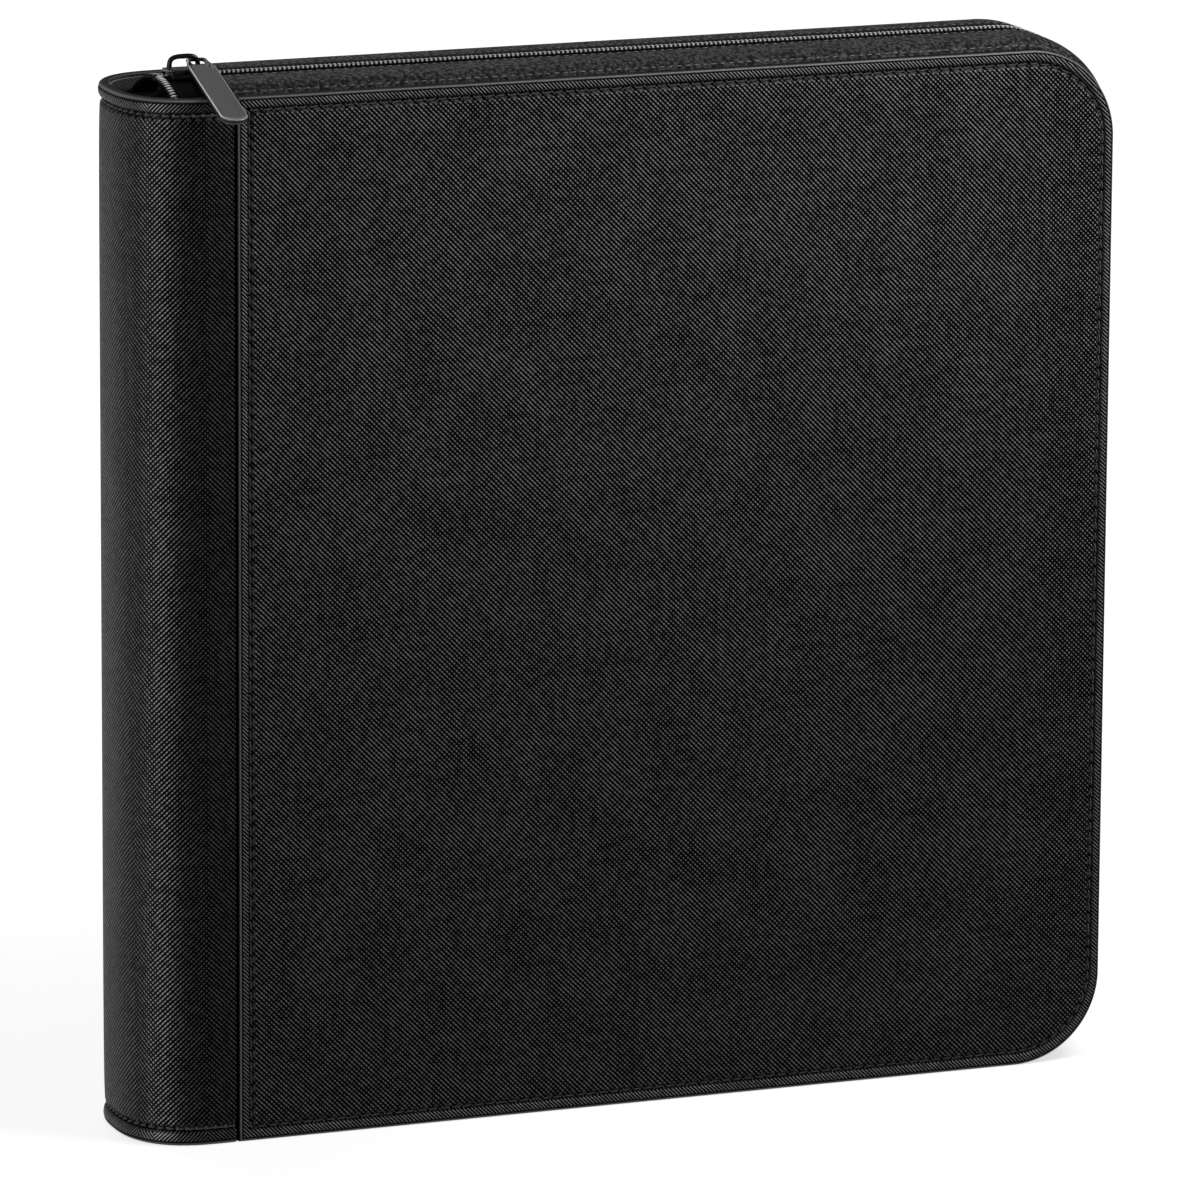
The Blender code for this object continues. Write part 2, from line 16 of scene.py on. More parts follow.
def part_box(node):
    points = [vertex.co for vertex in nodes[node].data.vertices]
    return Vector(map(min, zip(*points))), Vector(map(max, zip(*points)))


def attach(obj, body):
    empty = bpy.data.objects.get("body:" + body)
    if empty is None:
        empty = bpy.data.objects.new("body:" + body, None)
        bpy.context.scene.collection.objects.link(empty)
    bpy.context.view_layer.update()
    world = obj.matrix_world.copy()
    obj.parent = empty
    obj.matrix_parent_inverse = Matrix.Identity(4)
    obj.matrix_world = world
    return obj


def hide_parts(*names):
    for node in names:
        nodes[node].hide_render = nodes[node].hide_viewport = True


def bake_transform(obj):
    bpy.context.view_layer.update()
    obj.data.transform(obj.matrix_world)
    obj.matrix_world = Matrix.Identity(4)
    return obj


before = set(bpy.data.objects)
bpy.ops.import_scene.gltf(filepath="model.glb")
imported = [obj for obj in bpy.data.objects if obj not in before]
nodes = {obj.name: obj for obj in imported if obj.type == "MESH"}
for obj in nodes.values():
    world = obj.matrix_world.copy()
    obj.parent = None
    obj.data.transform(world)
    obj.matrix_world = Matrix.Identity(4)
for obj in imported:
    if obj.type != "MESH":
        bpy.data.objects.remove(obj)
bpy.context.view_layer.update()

# %% [markdown]
# Makers of cases measure from the seam where the spine meets the front cover, so this lesson
# does too: u runs from the seam to the fore edge, v from the front face to the back face, and
# z up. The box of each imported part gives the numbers, and SEAM takes them back to the model.

# %% sizes of the case
SEAM_TO_COVER = 0.0022        # the hinge groove's edge of a cover, past the seam
SEAM_TO_SPINE = 0.0028        # and the spine's edge of the same groove
front_low, front_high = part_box("front_cover")
back_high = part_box("back_cover")[1]
spine_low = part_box("spine_cover")[0]
SEAM = np.array([front_low.x + SEAM_TO_COVER, front_low.y, front_low.z])
WIDTH = front_high.x - SEAM[0]
HEIGHT = front_high.z - front_low.z
THICKNESS = back_high.y - front_low.y
MIDDLE = THICKNESS / 2
BULGE = SEAM[0] - spine_low.x
COVER_DEPTH = front_high.y - front_low.y      # skin and board together
SKIN = 0.0010
STITCH_INSET = 0.0044                         # from the top and bottom edge to the stitching
STITCH_PITCH = 0.0038
print(f"case {WIDTH * 1000:.0f} x {HEIGHT * 1000:.0f} x {THICKNESS * 1000:.0f} mm,"
      f" spine out {BULGE * 1000:.0f} mm")

# %% [markdown]
# Every piece below is a surface worked out as arrays: a grid of points, P[i, j], with a quad
# between each four neighbours. Where a surface closes on itself the grid repeats its first
# row or column, and where it ends in a pole a whole row is the same point. Welding then
# closes both, and the pattern coordinates, which belong to corners, stay unbroken.

# %% from a grid of points to a piece
WELD = 1e-7


def surface(name, points, pattern=None, sharp=40, **values):
    """One mesh over P[..., i, j]: quads between neighbours in i and j, one block for each
    leading index. pattern[..., i, j] are metres along the leather, and each further value,
    such as the pale marks of wear and painted highlight, is kept on the points from 0 to 1."""
    rows, cols = points.shape[-3:-1]
    flat = np.ascontiguousarray(points, dtype=float).reshape(-1, 3)
    index = np.arange(len(flat)).reshape(-1, rows, cols)
    quads = np.stack([index[:, :-1, :-1], index[:, 1:, :-1],
                      index[:, 1:, 1:], index[:, :-1, 1:]], axis=-1).reshape(-1)
    mesh = bpy.data.meshes.new(name)
    mesh.vertices.add(len(flat))
    mesh.vertices.foreach_set("co", (flat + SEAM).ravel())
    mesh.loops.add(len(quads))
    mesh.loops.foreach_set("vertex_index", quads.astype(np.int32))
    mesh.polygons.add(len(quads) // 4)
    mesh.polygons.foreach_set("loop_start", np.arange(0, len(quads), 4, dtype=np.int32))
    mesh.update(calc_edges=True)
    if pattern is not None:
        grain = mesh.uv_layers.new(name="pattern")
        grain.data.foreach_set("uv", pattern.reshape(-1, 2)[quads].astype(np.float32).ravel())
    for title, value in values.items():
        kept = mesh.attributes.new(title, "FLOAT", "POINT")
        value = np.broadcast_to(value, points.shape[:-1]).astype(np.float32)
        kept.data.foreach_set("value", value.ravel())
    bm = bmesh.new()
    bm.from_mesh(mesh)
    bmesh.ops.remove_doubles(bm, verts=bm.verts, dist=WELD)
    bmesh.ops.recalc_face_normals(bm, faces=bm.faces)
    bm.to_mesh(mesh)
    bm.free()
    mesh.shade_smooth()
    mesh.set_sharp_from_angle(angle=math.radians(sharp))
    piece = bpy.data.objects.new(name, mesh)
    bpy.context.collection.objects.link(piece)
    print(f"{name}: {len(mesh.polygons)} faces")
    return piece


def across_middle(points):
    """The back piece from the front one: v becomes the thickness less v."""
    mirrored = points.copy()
    mirrored[..., 1] = THICKNESS - mirrored[..., 1]
    return mirrored


def both_sides(name, points, pattern=None, **values):
    """A front piece and its mirrored twin at the back."""
    return [surface(f"front_{name}", points, pattern, **values),
            surface(f"back_{name}", across_middle(points), pattern, **values)]


# %% short names for work on arrays
def grid(*parts):
    """Points from their coordinates, each stretched to the shape that they share."""
    return np.stack(np.broadcast_arrays(*parts), axis=-1)


def join(*parts, axis=0):
    """Arrays one after the other."""
    return np.concatenate(parts, axis=axis)


def unit(vectors):
    """Each vector divided by its own length."""
    return vectors / np.linalg.norm(vectors, axis=-1, keepdims=True)


def squared(wave, power):
    """sign(w) |w|^(2/p): the sines and cosines of a superellipse."""
    return np.sign(wave) * np.abs(wave) ** (2 / power)


def bell(distance, width, power=2):
    """exp(-|d / width|^p): 1 at the middle, fading to both sides."""
    return np.exp(-np.abs(distance / width) ** power)


def around(outer, inner):
    """Out along one sheet, back along the other, and home."""
    return join(outer, inner[:, ::-1], outer[:, :1], axis=1)


def shell(outer, inner):
    """A closed body between two sheets of points, shut at both ends on the line halfway
    between them."""
    ends = around((outer + inner) / 2, (outer + inner) / 2)
    return join(ends[:1], around(outer, inner), ends[-1:])


def shell_values(outer, inner):
    """The same walk for values that belong to the points."""
    ring = around(outer, inner)
    return join(ring[:1], ring, ring[-1:])


def tube(line, side, over, wide, thick, count):
    """P(s, b) = line + wide cos b side + thick sin b over, with a point at each end."""
    b = np.linspace(0, 2 * np.pi, count)[:, None]
    body = (line[:, None] + side[:, None] * np.cos(b) * wide[:, None, None]
            + over[:, None] * np.sin(b) * thick[:, None, None])
    ends = np.repeat(line[[0, -1]][:, None], count, axis=1)
    return join(ends[:1], body, ends[1:])


# %% lines, and places along them
def run_of(line):
    """Distance travelled along a line of points."""
    steps = np.linalg.norm(np.diff(line, axis=0), axis=-1)
    return join([0], np.cumsum(steps))


def read_off(at, run, values):
    """Columns of values, read off at distances along a line."""
    return grid(*[np.interp(at, run, column) for column in values.T])


def resample(line, step):
    """The same line with its points spread evenly, about one step apart."""
    run = run_of(line)
    return read_off(np.linspace(0, run[-1], max(int(round(run[-1] / step)), 1) + 1), run, line)


def stations(line, up, pitch, start=0.5):
    """Places one pitch apart along a line, each with its own axes: ahead, aside and up."""
    run = run_of(line)
    count = max(int(round(run[-1] / pitch)), 1)
    at = (np.arange(count) + start) * run[-1] / count
    ahead = unit(read_off(at, run, np.gradient(line, run, axis=0)))
    aside = unit(np.cross(unit(read_off(at, run, up)), ahead))
    return read_off(at, run, line), grid(ahead, aside, np.cross(ahead, aside))


def copies(template, place, axes):
    """The template's points at every place: P = place + axes times template."""
    turned = np.einsum("kij,mnj->kmni", axes, template)
    return place[:, None, None, :] + turned

# %% [markdown]
# The covers and the gussets all follow one outline: along the top, round the upper fore
# corner, down the fore edge, round the lower one and back along the bottom. It is written as
# a function of an inset, so that the rim, the stitch groove and the zip can share it.
# The points keep their share of each stretch as the inset grows, which holds the grid square
# to the edge everywhere, the two sharp corners at the seam included.

# %% the outline of a cover
CORNER = 0.029                                # radius of the fore corners
SEAM_EDGE = 0.0016                            # visible edge of the cover, past the seam
SEAM_INSET, FORE_INSET = 0.0040, 0.0034       # stitching from the seam and the fore edge
RIM_STEP = STITCH_PITCH / 4
TOP, UPPER, FORE, LOWER, BOTTOM, HINGE = range(6)


def outline_samples():
    """For each point of the outline: which stretch it is on, and its share of that stretch."""
    lengths = [WIDTH - CORNER, CORNER * math.pi / 2, HEIGHT - 2 * CORNER,
               CORNER * math.pi / 2, WIDTH - CORNER, HEIGHT]
    counts = [int(round(length / RIM_STEP)) for length in lengths]
    kinds = np.repeat(range(6), counts)
    shares = join(*[np.arange(count) / count for count in counts])
    return join(kinds, [HINGE]), join(shares, [1.0])


STRETCH, SHARE = outline_samples()


def outline(inset):
    """The outline (u, z) drawn in by an inset. Straight stretches run between the drawn-in
    corners, and the fore corners are quarter turns of the radius less the inset. Up to the
    stitching, the seam side and the fore side are drawn in a little less."""
    seam_in, fore_in = [inset + (side - STITCH_INSET) * min(max(inset / STITCH_INSET, 0), 1)
                        for side in (SEAM_INSET, FORE_INSET)]
    left, right = -SEAM_EDGE + seam_in, WIDTH - fore_in
    straight, top, bottom = WIDTH - CORNER, HEIGHT - inset, inset
    turn = np.pi / 2 * np.select([STRETCH == UPPER, STRETCH == LOWER], [1 - SHARE, -SHARE])
    radius = CORNER - inset
    u = np.select([STRETCH == TOP, STRETCH == FORE, STRETCH == BOTTOM, STRETCH == HINGE],
                  [left + (straight - left) * SHARE, right,
                   straight + (left - straight) * SHARE, left],
                  straight + (right - straight) * np.cos(turn))
    z = np.select([STRETCH == TOP, STRETCH == UPPER, STRETCH == FORE,
                   STRETCH == BOTTOM, STRETCH == HINGE],
                  [top, HEIGHT - CORNER + radius * np.sin(turn),
                   HEIGHT - CORNER - (HEIGHT - 2 * CORNER) * SHARE, bottom,
                   bottom + (top - bottom) * SHARE],
                  CORNER + radius * np.sin(turn))
    return grid(u, z)


stitch_outline = outline(STITCH_INSET)
stitch_run = run_of(stitch_outline)
stitches_round = int(round(stitch_run[-1] / STITCH_PITCH))
STITCH_PHASE = stitch_run / stitch_run[-1] * stitches_round
print(f"{len(STRETCH)} points round a cover, {stitches_round} stitches")

# %% [markdown]
# The skin of a cover is one sheet of leatherette wrapped over a board. Its edge is rolled
# under, a line of stitches holds the roll down, and each stitch pulls the skin into a small
# dimple, so the rim swells between the edge and the stitching like a soft cord.
# A profile carried round the outline gives all of that: for each inset there is a depth.

# %% how deep the skin lies, and where it is worn
RIM = STITCH_INSET - 0.0009   # the roll that swells outside the stitching
RIM_SWELL = 0.00050
EDGE_ROUND = 0.0009
BEAD_AT, BEAD_VALLEY = 0.00100, 0.00034
GROOVE_DEPTH, GROOVE_HALF = 0.00105, 0.00085
PANEL_SWELL, PANEL_EASE = 0.00030, 0.010
PULLED, PULLED_REACH = 0.00025, 0.0016        # the skin drawn down beside the groove
DIMPLE = 0.40                 # how much deeper the groove is at a needle hole
PUCKER_AT, PUCKER = 0.0008, 0.00030


def pucker(inset, phase):
    """1 on the panel's side of the groove, halfway between two needle holes."""
    between = np.clip(-np.cos(2 * np.pi * phase), 0, None)
    return between * bell(inset - STITCH_INSET - PUCKER_AT, 0.00042)


def edge_depth(inset, phase):
    """Depth below the face at an inset from the edge: a quarter round at the edge, a narrow
    valley inside the edge bead, a swelling over the rim, the groove, deeper at the needle
    holes, and small puckers between them, that fade into the gently swollen panel."""
    over = np.clip(1 - inset / EDGE_ROUND, 0, 1)
    roll = EDGE_ROUND * (1 - np.sqrt(1 - over ** 2))
    swell = RIM_SWELL * np.sin(np.pi * np.clip(inset / RIM, 0, 1)) ** 0.6
    valley = BEAD_VALLEY * bell(inset - BEAD_AT, 0.00024)
    past = inset - STITCH_INSET
    groove = GROOVE_DEPTH * (1 + DIMPLE * np.cos(2 * np.pi * phase)) * bell(past, GROOVE_HALF, 3)
    pulled = PULLED * bell(past, PULLED_REACH, 1)
    panel = PANEL_SWELL * (1 - np.exp(-np.clip(past, 0, None) / PANEL_EASE))
    return roll - swell + valley + groove + pulled - panel - PUCKER * pucker(inset, phase)


def ends_at(inset, place, softness):
    """1 before a place, 0 past it, by a smooth step."""
    return 1 / (1 + np.exp((inset - place) / softness))


def wear_and_light(inset, phase):
    """Three values for a place at an inset. It is pale on the edge bead and on the puckers,
    partly edge wear and partly a painted highlight where they catch the light. It is on the
    rim, where the skin is stretched. It is pressed flat, with no pale tops, in the groove, the
    bead's valley and over the rolled edge, which is partly real and partly painted shade."""
    rub = 1.7 * bell(inset - 0.00045, 0.00024) + 0.8 * pucker(inset, phase)
    rim = ends_at(inset, STITCH_INSET - 0.0002, 0.0001)
    pressed = np.maximum(bell(inset - STITCH_INSET, 0.00095, 4),
                         ends_at(inset, BEAD_AT + 0.00025, 0.00006))
    return np.broadcast_arrays(rub, rim, pressed)


# %% the skin of a cover
WORN_AND_LIT = ("rub", "rim", "pressed")
# The edge's wall is pressed flat with no pale tops, partly painted shade.
WALL = (0, 1, 1)              # the same three values on the edge's wall
PANEL_INSET = 0.0250          # where the rim's rings end and the plain panel begins
PANEL_STEPS = 12


def face_insets():
    """Insets of the rings on the face, close together on the bead and in the groove."""
    before, after = STITCH_INSET - 0.0012, STITCH_INSET + 0.0018
    return join(EDGE_ROUND * (1 - np.cos(np.linspace(0, np.pi / 2, 6))),
                np.linspace(EDGE_ROUND, BEAD_AT + 0.0006, 7)[1:],
                np.linspace(BEAD_AT + 0.0006, before, 5)[1:],
                np.linspace(before, after, 19)[1:],
                [0.0070, 0.0080, 0.0095, 0.0120, 0.0165, PANEL_INSET])


def cover_skin():
    """P(s, w): s round the outline, w along the profile from the middle of the inner side,
    round the edge, and in to the middle of the panel. Past the edge the pattern's inset goes
    on below zero, as the flat sheet of skin does."""
    middle = np.array([WIDTH / 2, HEIGHT / 2])
    wall = COVER_DEPTH - EDGE_ROUND
    rings = []

    def ring(flat, depth, pattern, values=(0, 0, 0)):
        rings.append(grid(flat[:, 0], depth, flat[:, 1], *pattern.T, *values))

    inner = outline(SKIN)
    ring(0 * inner + middle, SKIN, 0 * inner + middle)
    ring(inner, SKIN, inner)
    for pattern_inset, inset, depth in (
            (-wall - SKIN, SKIN, COVER_DEPTH), (-wall - 0.0003, 0.0003, COVER_DEPTH),
            (-wall, 0.0, COVER_DEPTH - 0.0004), (-wall / 2, 0.0, (COVER_DEPTH + EDGE_ROUND) / 2)):
        ring(outline(inset), depth, outline(pattern_inset), WALL)
    for inset in face_insets():
        here = outline(inset)
        ring(here, edge_depth(inset, STITCH_PHASE), here, wear_and_light(inset, STITCH_PHASE))
    deep = edge_depth(PANEL_INSET, STITCH_PHASE)
    for share in np.linspace(0, 1, PANEL_STEPS + 1)[1:]:
        flat = here + (middle - here) * share
        ring(flat, deep, flat)
    together = np.stack(rings, axis=1)
    worn_and_lit = dict(zip(WORN_AND_LIT, np.moveaxis(together[..., 5:], -1, 0)))
    return together[..., :3], together[..., 3:5], worn_and_lit


skin_points, skin_pattern, skin_worn_and_lit = cover_skin()
skins = both_sides("cover_skin", skin_points, skin_pattern, **skin_worn_and_lit)
for piece, side in zip(skins, ("front", "back")):
    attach(piece, f"{side}_case")
    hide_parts(f"{side}_cover")

# %% [markdown]
# The spine is the same skin bent round the pages. From above, its line is flat beside each
# hinge and full in the middle, a superellipse, which is what a padded spine settles into.
# Its top and bottom edges are rolled and stitched like the rims of the covers.

# %% the line of the spine, seen from above
SPINE_STRAIGHT = 0.008
SPINE_POWER = 2.5
SPINE_LINE_STEPS = 4000


def spine_line():
    """Flat from the hinge to the start of the bend, then u = -straight - reach |cos a|^(2/p)
    and v = middle + middle |sin a|^(2/p), spread evenly along its length."""
    turn = np.linspace(-np.pi / 2, np.pi / 2, SPINE_LINE_STEPS)
    bend = grid(-SPINE_STRAIGHT - (BULGE - SPINE_STRAIGHT) * squared(np.cos(turn), SPINE_POWER),
                MIDDLE + MIDDLE * squared(np.sin(turn), SPINE_POWER))
    return resample(join([[-SEAM_TO_SPINE, 0]], bend, [[-SEAM_TO_SPINE, THICKNESS]]), RIM_STEP)


SPINE_LINE = spine_line()
SPINE_RUN = run_of(SPINE_LINE)
ahead = unit(np.gradient(SPINE_LINE, SPINE_RUN, axis=0))
SPINE_OUT = grid(-ahead[:, 1], ahead[:, 0])
print(f"the spine is {SPINE_RUN[-1] * 1000:.1f} mm round")

# %% the skin of the spine
SPINE_DEPTH = 0.0029
SPINE_WIDER = 1.2             # the spine's rolls are wider than the covers'
SPINE_STITCH = STITCH_INSET * SPINE_WIDER
SPINE_PITCH = 0.0032          # and its stitches are shorter
SPINE_PHASE = SPINE_RUN / SPINE_RUN[-1] * int(round(SPINE_RUN[-1] / SPINE_PITCH))


def spine_skin():
    """P(s, w): s along the spine's line, w from the inner edge of the bottom roll up the
    outside and over the top roll; depth is measured in from the line."""
    inset = join(face_insets(), [0.04, 0.07, 0.11])
    drop = inset * SPINE_WIDER
    lip = np.array([SKIN, 0.0003, 0.0, 0.0])
    lip_depth = [SPINE_DEPTH, SPINE_DEPTH, SPINE_DEPTH - 0.0004, (SPINE_DEPTH + EDGE_ROUND) / 2]
    wall = SPINE_DEPTH - EDGE_ROUND
    lip_pattern = np.array([-wall - SKIN, -wall - 0.0003, -wall, -wall / 2])
    z, pattern_z = [join(low, drop, HEIGHT - drop[::-1], HEIGHT - low[::-1])
                    for low in (lip, lip_pattern)]
    face = edge_depth(inset[None, :], SPINE_PHASE[:, None])
    lips = np.broadcast_to(lip_depth, (len(SPINE_RUN), len(lip)))
    depth = join(lips, face, face[:, ::-1], lips[:, ::-1], axis=1)

    def sheet(deep, up):
        flat = SPINE_LINE[:, None, :] - SPINE_OUT[:, None, :] * deep[..., None]
        return grid(flat[..., 0], flat[..., 1], up)

    outer = sheet(depth, z)
    inner = sheet(np.maximum(depth, SKIN), np.clip(z, SKIN, HEIGHT - SKIN))
    pattern = grid(SPINE_RUN[:, None], pattern_z[None, :])
    from_edge = np.minimum(z, HEIGHT - z)[None, :] / SPINE_WIDER
    worn_and_lit = {title: shell_values(value, 0 * value)
            for title, value in zip(WORN_AND_LIT, wear_and_light(from_edge, SPINE_PHASE[:, None]))}
    return shell(outer, inner), shell_values(pattern, pattern), worn_and_lit


spine_points, spine_pattern, spine_worn_and_lit = spine_skin()
spine_piece = surface("spine_skin", spine_points, spine_pattern, **spine_worn_and_lit)
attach(spine_piece, "spine")
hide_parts("spine_cover")

# %% [markdown]
# Between the spine and each cover the skin has no board behind it, so it folds there. On the
# shelf it shows as a groove. It is one thin strip on each side, fixed where it lies.

# %% the skin of the hinge groove
HINGE_U = -(SEAM_TO_COVER + SEAM_TO_SPINE) / 2
FOLD_REACH = 0.0016           # how far the strip goes under each edge
FOLD_BENDS = FOLD_REACH * 0.8
FOLD_DEPTH = 0.0023
FOLD_SAG = 0.0002
FOLD_THICK = 0.0006
FOLD_END = 0.0003             # how far its ends stay from the covers' ends
FOLD_TURN = 0.0040            # the length over which an end comes forward
FOLD_RISE = 0.62              # and the share of its depth that it comes forward by


def hinge_fold():
    """P(z, w): a strip from under the spine's edge to under the cover's, with a shallow sag.
    It comes forward to just under the skin at its two ends, where it is turned over."""
    across = np.linspace(-1, 1, 17)[None, :]
    half = HEIGHT / 2 - FOLD_END
    z = (HEIGHT / 2 + half * np.sin(np.linspace(-1, 1, 160) * math.pi / 2))[:, None]
    turned = np.clip(1 - np.minimum(z, HEIGHT - z) / FOLD_TURN, 0, 1) ** 2
    u = HINGE_U + across * FOLD_REACH
    v = FOLD_DEPTH * (1 - FOLD_RISE * turned) + FOLD_SAG * (across ** 2 - 1)
    flat = grid(u, z)
    return shell(grid(u, v, z), grid(u, v + FOLD_THICK, z)), shell_values(flat, flat)


fold_points, fold_pattern = hinge_fold()
# The whole fold is kept dark and without grain: partly pressed flat, partly painted shade in the
# crease.
folds = both_sides("hinge_fold", fold_points, fold_pattern, pressed=1.0)
for fold, side in zip(folds, ("front", "back")):
    end = SEAM + (HINGE_U + FOLD_BENDS, 0, 0)
    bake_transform(fold)

# %% [markdown]
# The stitches are thick waxed thread. A lockstitch shows as short separate bars, each lying a
# little aslant in the groove and diving into the skin at both ends. One small closed body
# with a few dozen faces is enough, copied to every station along the groove.

# %% stitches
THREAD = 0.00030
STITCH_SHARE = 0.80           # of the pitch; the rest is the needle holes
STITCH_FLOOR = edge_depth(STITCH_INSET, 0.5) - 0.2 * THREAD


def stitch(length, radius=THREAD, slant=0.10):
    """x = -length/2 cos a, radius sin(a)^0.6, turned a little aside, with the ends dipping."""
    a = np.linspace(0, np.pi, 7)[:, None]
    b = np.linspace(0, 2 * np.pi, 7)[None, :]
    x = -length / 2 * np.cos(a)
    r = radius * np.clip(np.sin(a), 0, None) ** 0.6
    dip = -0.9 * radius * np.cos(a) ** 4
    return grid(x, r * np.cos(b) + slant * x, r * np.sin(b) + dip)


def groove_stitches():
    """Stitches on the floor of the cover's groove, all the way round."""
    line = grid(stitch_outline[:, 0], STITCH_FLOOR, stitch_outline[:, 1])
    up = np.array([0.0, -1.0, 0.0]) + 0 * line
    return copies(stitch(STITCH_PITCH * STITCH_SHARE), *stations(line, up, STITCH_PITCH))


def spine_groove_stitches():
    """The same along the top and the bottom of the spine."""
    flat = SPINE_LINE - SPINE_OUT * STITCH_FLOOR
    up = grid(*SPINE_OUT.T, 0.0)
    template = stitch(SPINE_PITCH * STITCH_SHARE)
    return join(*[copies(template, *stations(grid(*flat.T, z), up, SPINE_PITCH))
                  for z in (SPINE_STITCH, HEIGHT - SPINE_STITCH)])


stitching = both_sides("cover_stitching", groove_stitches())
stitching.append(surface("spine_stitching", spine_groove_stitches()))
for piece, body in zip(stitching, ("front_case", "back_case", "spine")):
    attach(piece, body)

# %% [markdown]
# The gusset is the soft wall that closes the case. It is sewn flat inside the cover's rim,
# turns out past the edge, and carries the zip tape on its free edge. Along the bottom it is
# pressed in, so that the covers stand on their own edges. Its section is swept round the
# three open sides with a height that changes along the way.

# %% the edge that the gusset and the zip follow
PROUD, SUNK = 0.0026, 0.0021
on_edge = STRETCH < HINGE
edge_line = join(outline(0.0)[on_edge], [[-SEAM_EDGE, 0.0]])
edge_kind = join(STRETCH[on_edge], [BOTTOM])
edge_share = join(SHARE[on_edge], [1.0])
edge_turn = np.select([edge_kind == TOP, edge_kind == UPPER, edge_kind == FORE, edge_kind == LOWER],
                      [np.pi / 2, np.pi / 2 * (1 - edge_share), 0, -np.pi / 2 * edge_share],
                      -np.pi / 2)
EDGE_OUT = grid(np.cos(edge_turn), np.sin(edge_turn))
lowering = np.select([edge_kind == LOWER, edge_kind == BOTTOM], [edge_share, 1.0], 0.0)
EDGE_PROUD = PROUD - (PROUD + SUNK) * lowering
EDGE_RUN = run_of(edge_line)
EDGE_UP = grid(EDGE_OUT[:, 0], 0.0, EDGE_OUT[:, 1])


def round_edge(section_v, section_h):
    """P(s, w) = edge point + height times the outward direction, at depth v into the case.
    section_h may change with s."""
    height = np.broadcast_to(section_h, (len(edge_line), np.shape(section_v)[-1]))
    flat = edge_line[:, None, :] + EDGE_OUT[:, None, :] * height[..., None]
    return grid(flat[..., 0], section_v, flat[..., 1])


# %% the gusset
FIT = 0.0003
GUSSET = 0.0011
GUSSET_START = COVER_DEPTH + FIT + GUSSET / 2
ZIP_OPENING = 0.0110
GUSSET_REACH = MIDDLE - ZIP_OPENING / 2 - GUSSET_START
GUSSET_BEND = 0.0025
GUSSET_POWER = 6
GUSSET_FLANGE = 0.0080
SEAM_PINCH, PINCH_AT = 0.00025, 0.13
TAPE_STARTS, TAPE_EASE = 0.83, 0.015   # shares of the way to the zip, where the tape lies on top


def gusset_line(t, proud):
    """Height of the gusset's middle at a share t of its way to the zip."""
    return -GUSSET_BEND + (proud + GUSSET_BEND) * (1 - (1 - t) ** GUSSET_POWER)


def gusset():
    """A band of even thickness on both sides of the middle line, with a rounded fold at the
    zip and a shallow pinch where the seam to the cover runs."""
    t = join(np.linspace(0, 0.3, 13), np.linspace(0.35, TAPE_STARTS, 7),
             [TAPE_STARTS + TAPE_EASE], np.linspace(0.87, 1, 4))
    h = gusset_line(t, EDGE_PROUD[:, None]) - SEAM_PINCH * bell(t - PINCH_AT, 0.03)
    flange_h = np.broadcast_to([-GUSSET_FLANGE, -GUSSET_FLANGE / 2 - GUSSET_BEND / 2], (len(h), 2))
    v = join([GUSSET_START, GUSSET_START], GUSSET_START + t * GUSSET_REACH)
    h = join(flange_h, h, axis=1)
    slope_v, slope_h = np.gradient(v), np.gradient(h, axis=1)
    length = np.hypot(slope_v, slope_h)
    half = GUSSET / 2 * join(np.ones(len(v) - 2), [0.95, 0.55])
    side_v, side_h = -slope_h / length * half, slope_v / length * half
    outer = round_edge(np.maximum(v + side_v, COVER_DEPTH + FIT), h + side_h)
    inner = round_edge(v - side_v, h - side_h)
    across = join(np.zeros((len(h), 1)), np.cumsum(length, axis=1)[:, 1:], axis=1)
    flat = grid(EDGE_RUN[:, None], across)
    tape = np.clip((join([0, 0], t) - TAPE_STARTS) / TAPE_EASE, 0, 1) + 0 * h
    return shell(outer, inner), shell_values(flat, flat), shell_values(tape, tape)


gusset_points, gusset_pattern, gusset_tape = gusset()
gussets = both_sides("gusset_skin", gusset_points, gusset_pattern, tape=gusset_tape)
for piece, side in zip(gussets, ("front", "back")):
    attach(piece, f"{side}_case")
    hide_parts(f"{side}_gusset")

# %% gusset stitching, beside the cover and beside the zip
GUSSET_ROWS = (0.11, 0.90)    # shares of the way to the zip
GUSSET_STITCH, GUSSET_THREAD, GUSSET_PITCH = 0.0021, 0.00021, 0.0029


def gusset_stitches():
    """Two rows of small stitches on the gusset's outer face: at a share t of its width the
    place is the middle line plus half the thickness."""
    rows = []
    for t in GUSSET_ROWS:
        h = gusset_line(t, EDGE_PROUD) + GUSSET / 2 - 0.2 * THREAD
        line = round_edge(np.array([GUSSET_START + t * GUSSET_REACH]), h[:, None])[:, 0]
        rows.append(copies(stitch(GUSSET_STITCH, GUSSET_THREAD),
                           *stations(line, EDGE_UP, GUSSET_PITCH)))
    return join(*rows)


gusset_threads = both_sides("gusset_stitching", gusset_stitches())
for piece, side in zip(gusset_threads, ("front", "back")):
    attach(piece, f"{side}_case")

# %% [markdown]
# The zip is a nylon coil zip. Each side is a woven tape with a spiral of stiff wire sewn
# along its edge, and what shows is the top of every turn. The two spirals mesh, so closed
# they read as one row of little beads. A turn is a short bent bar here, at the true pitch.

# %% the zip's tapes and turns
TOOTH_PITCH = 0.0015
WIRE = 0.00036
WIRE_SHAPE = np.array([0.9, 1.05, 1.1, 1.15, 1.15, 1.1, 1, 0.9])
TAPE_TOP = -GUSSET / 2 - FIT
TAPE_THICK = 0.0006
TAPE_EDGE = 0.00084           # from the middle of the zip to the tape
TAPE_WIDTH = 0.0082
TURN_NEAR = -0.00045          # the turns reach past the middle, into the other row
TURN_FAR = 0.0030
TURN_RISE, TURN_LEAN = 0.00085, 0.0003
TURN_LEVEL = TAPE_TOP + 0.0004
TAPE_ACROSS = np.linspace(TAPE_EDGE, TAPE_EDGE + TAPE_WIDTH, 12)
TAPE_FACES = (TAPE_TOP, TAPE_TOP - TAPE_THICK)


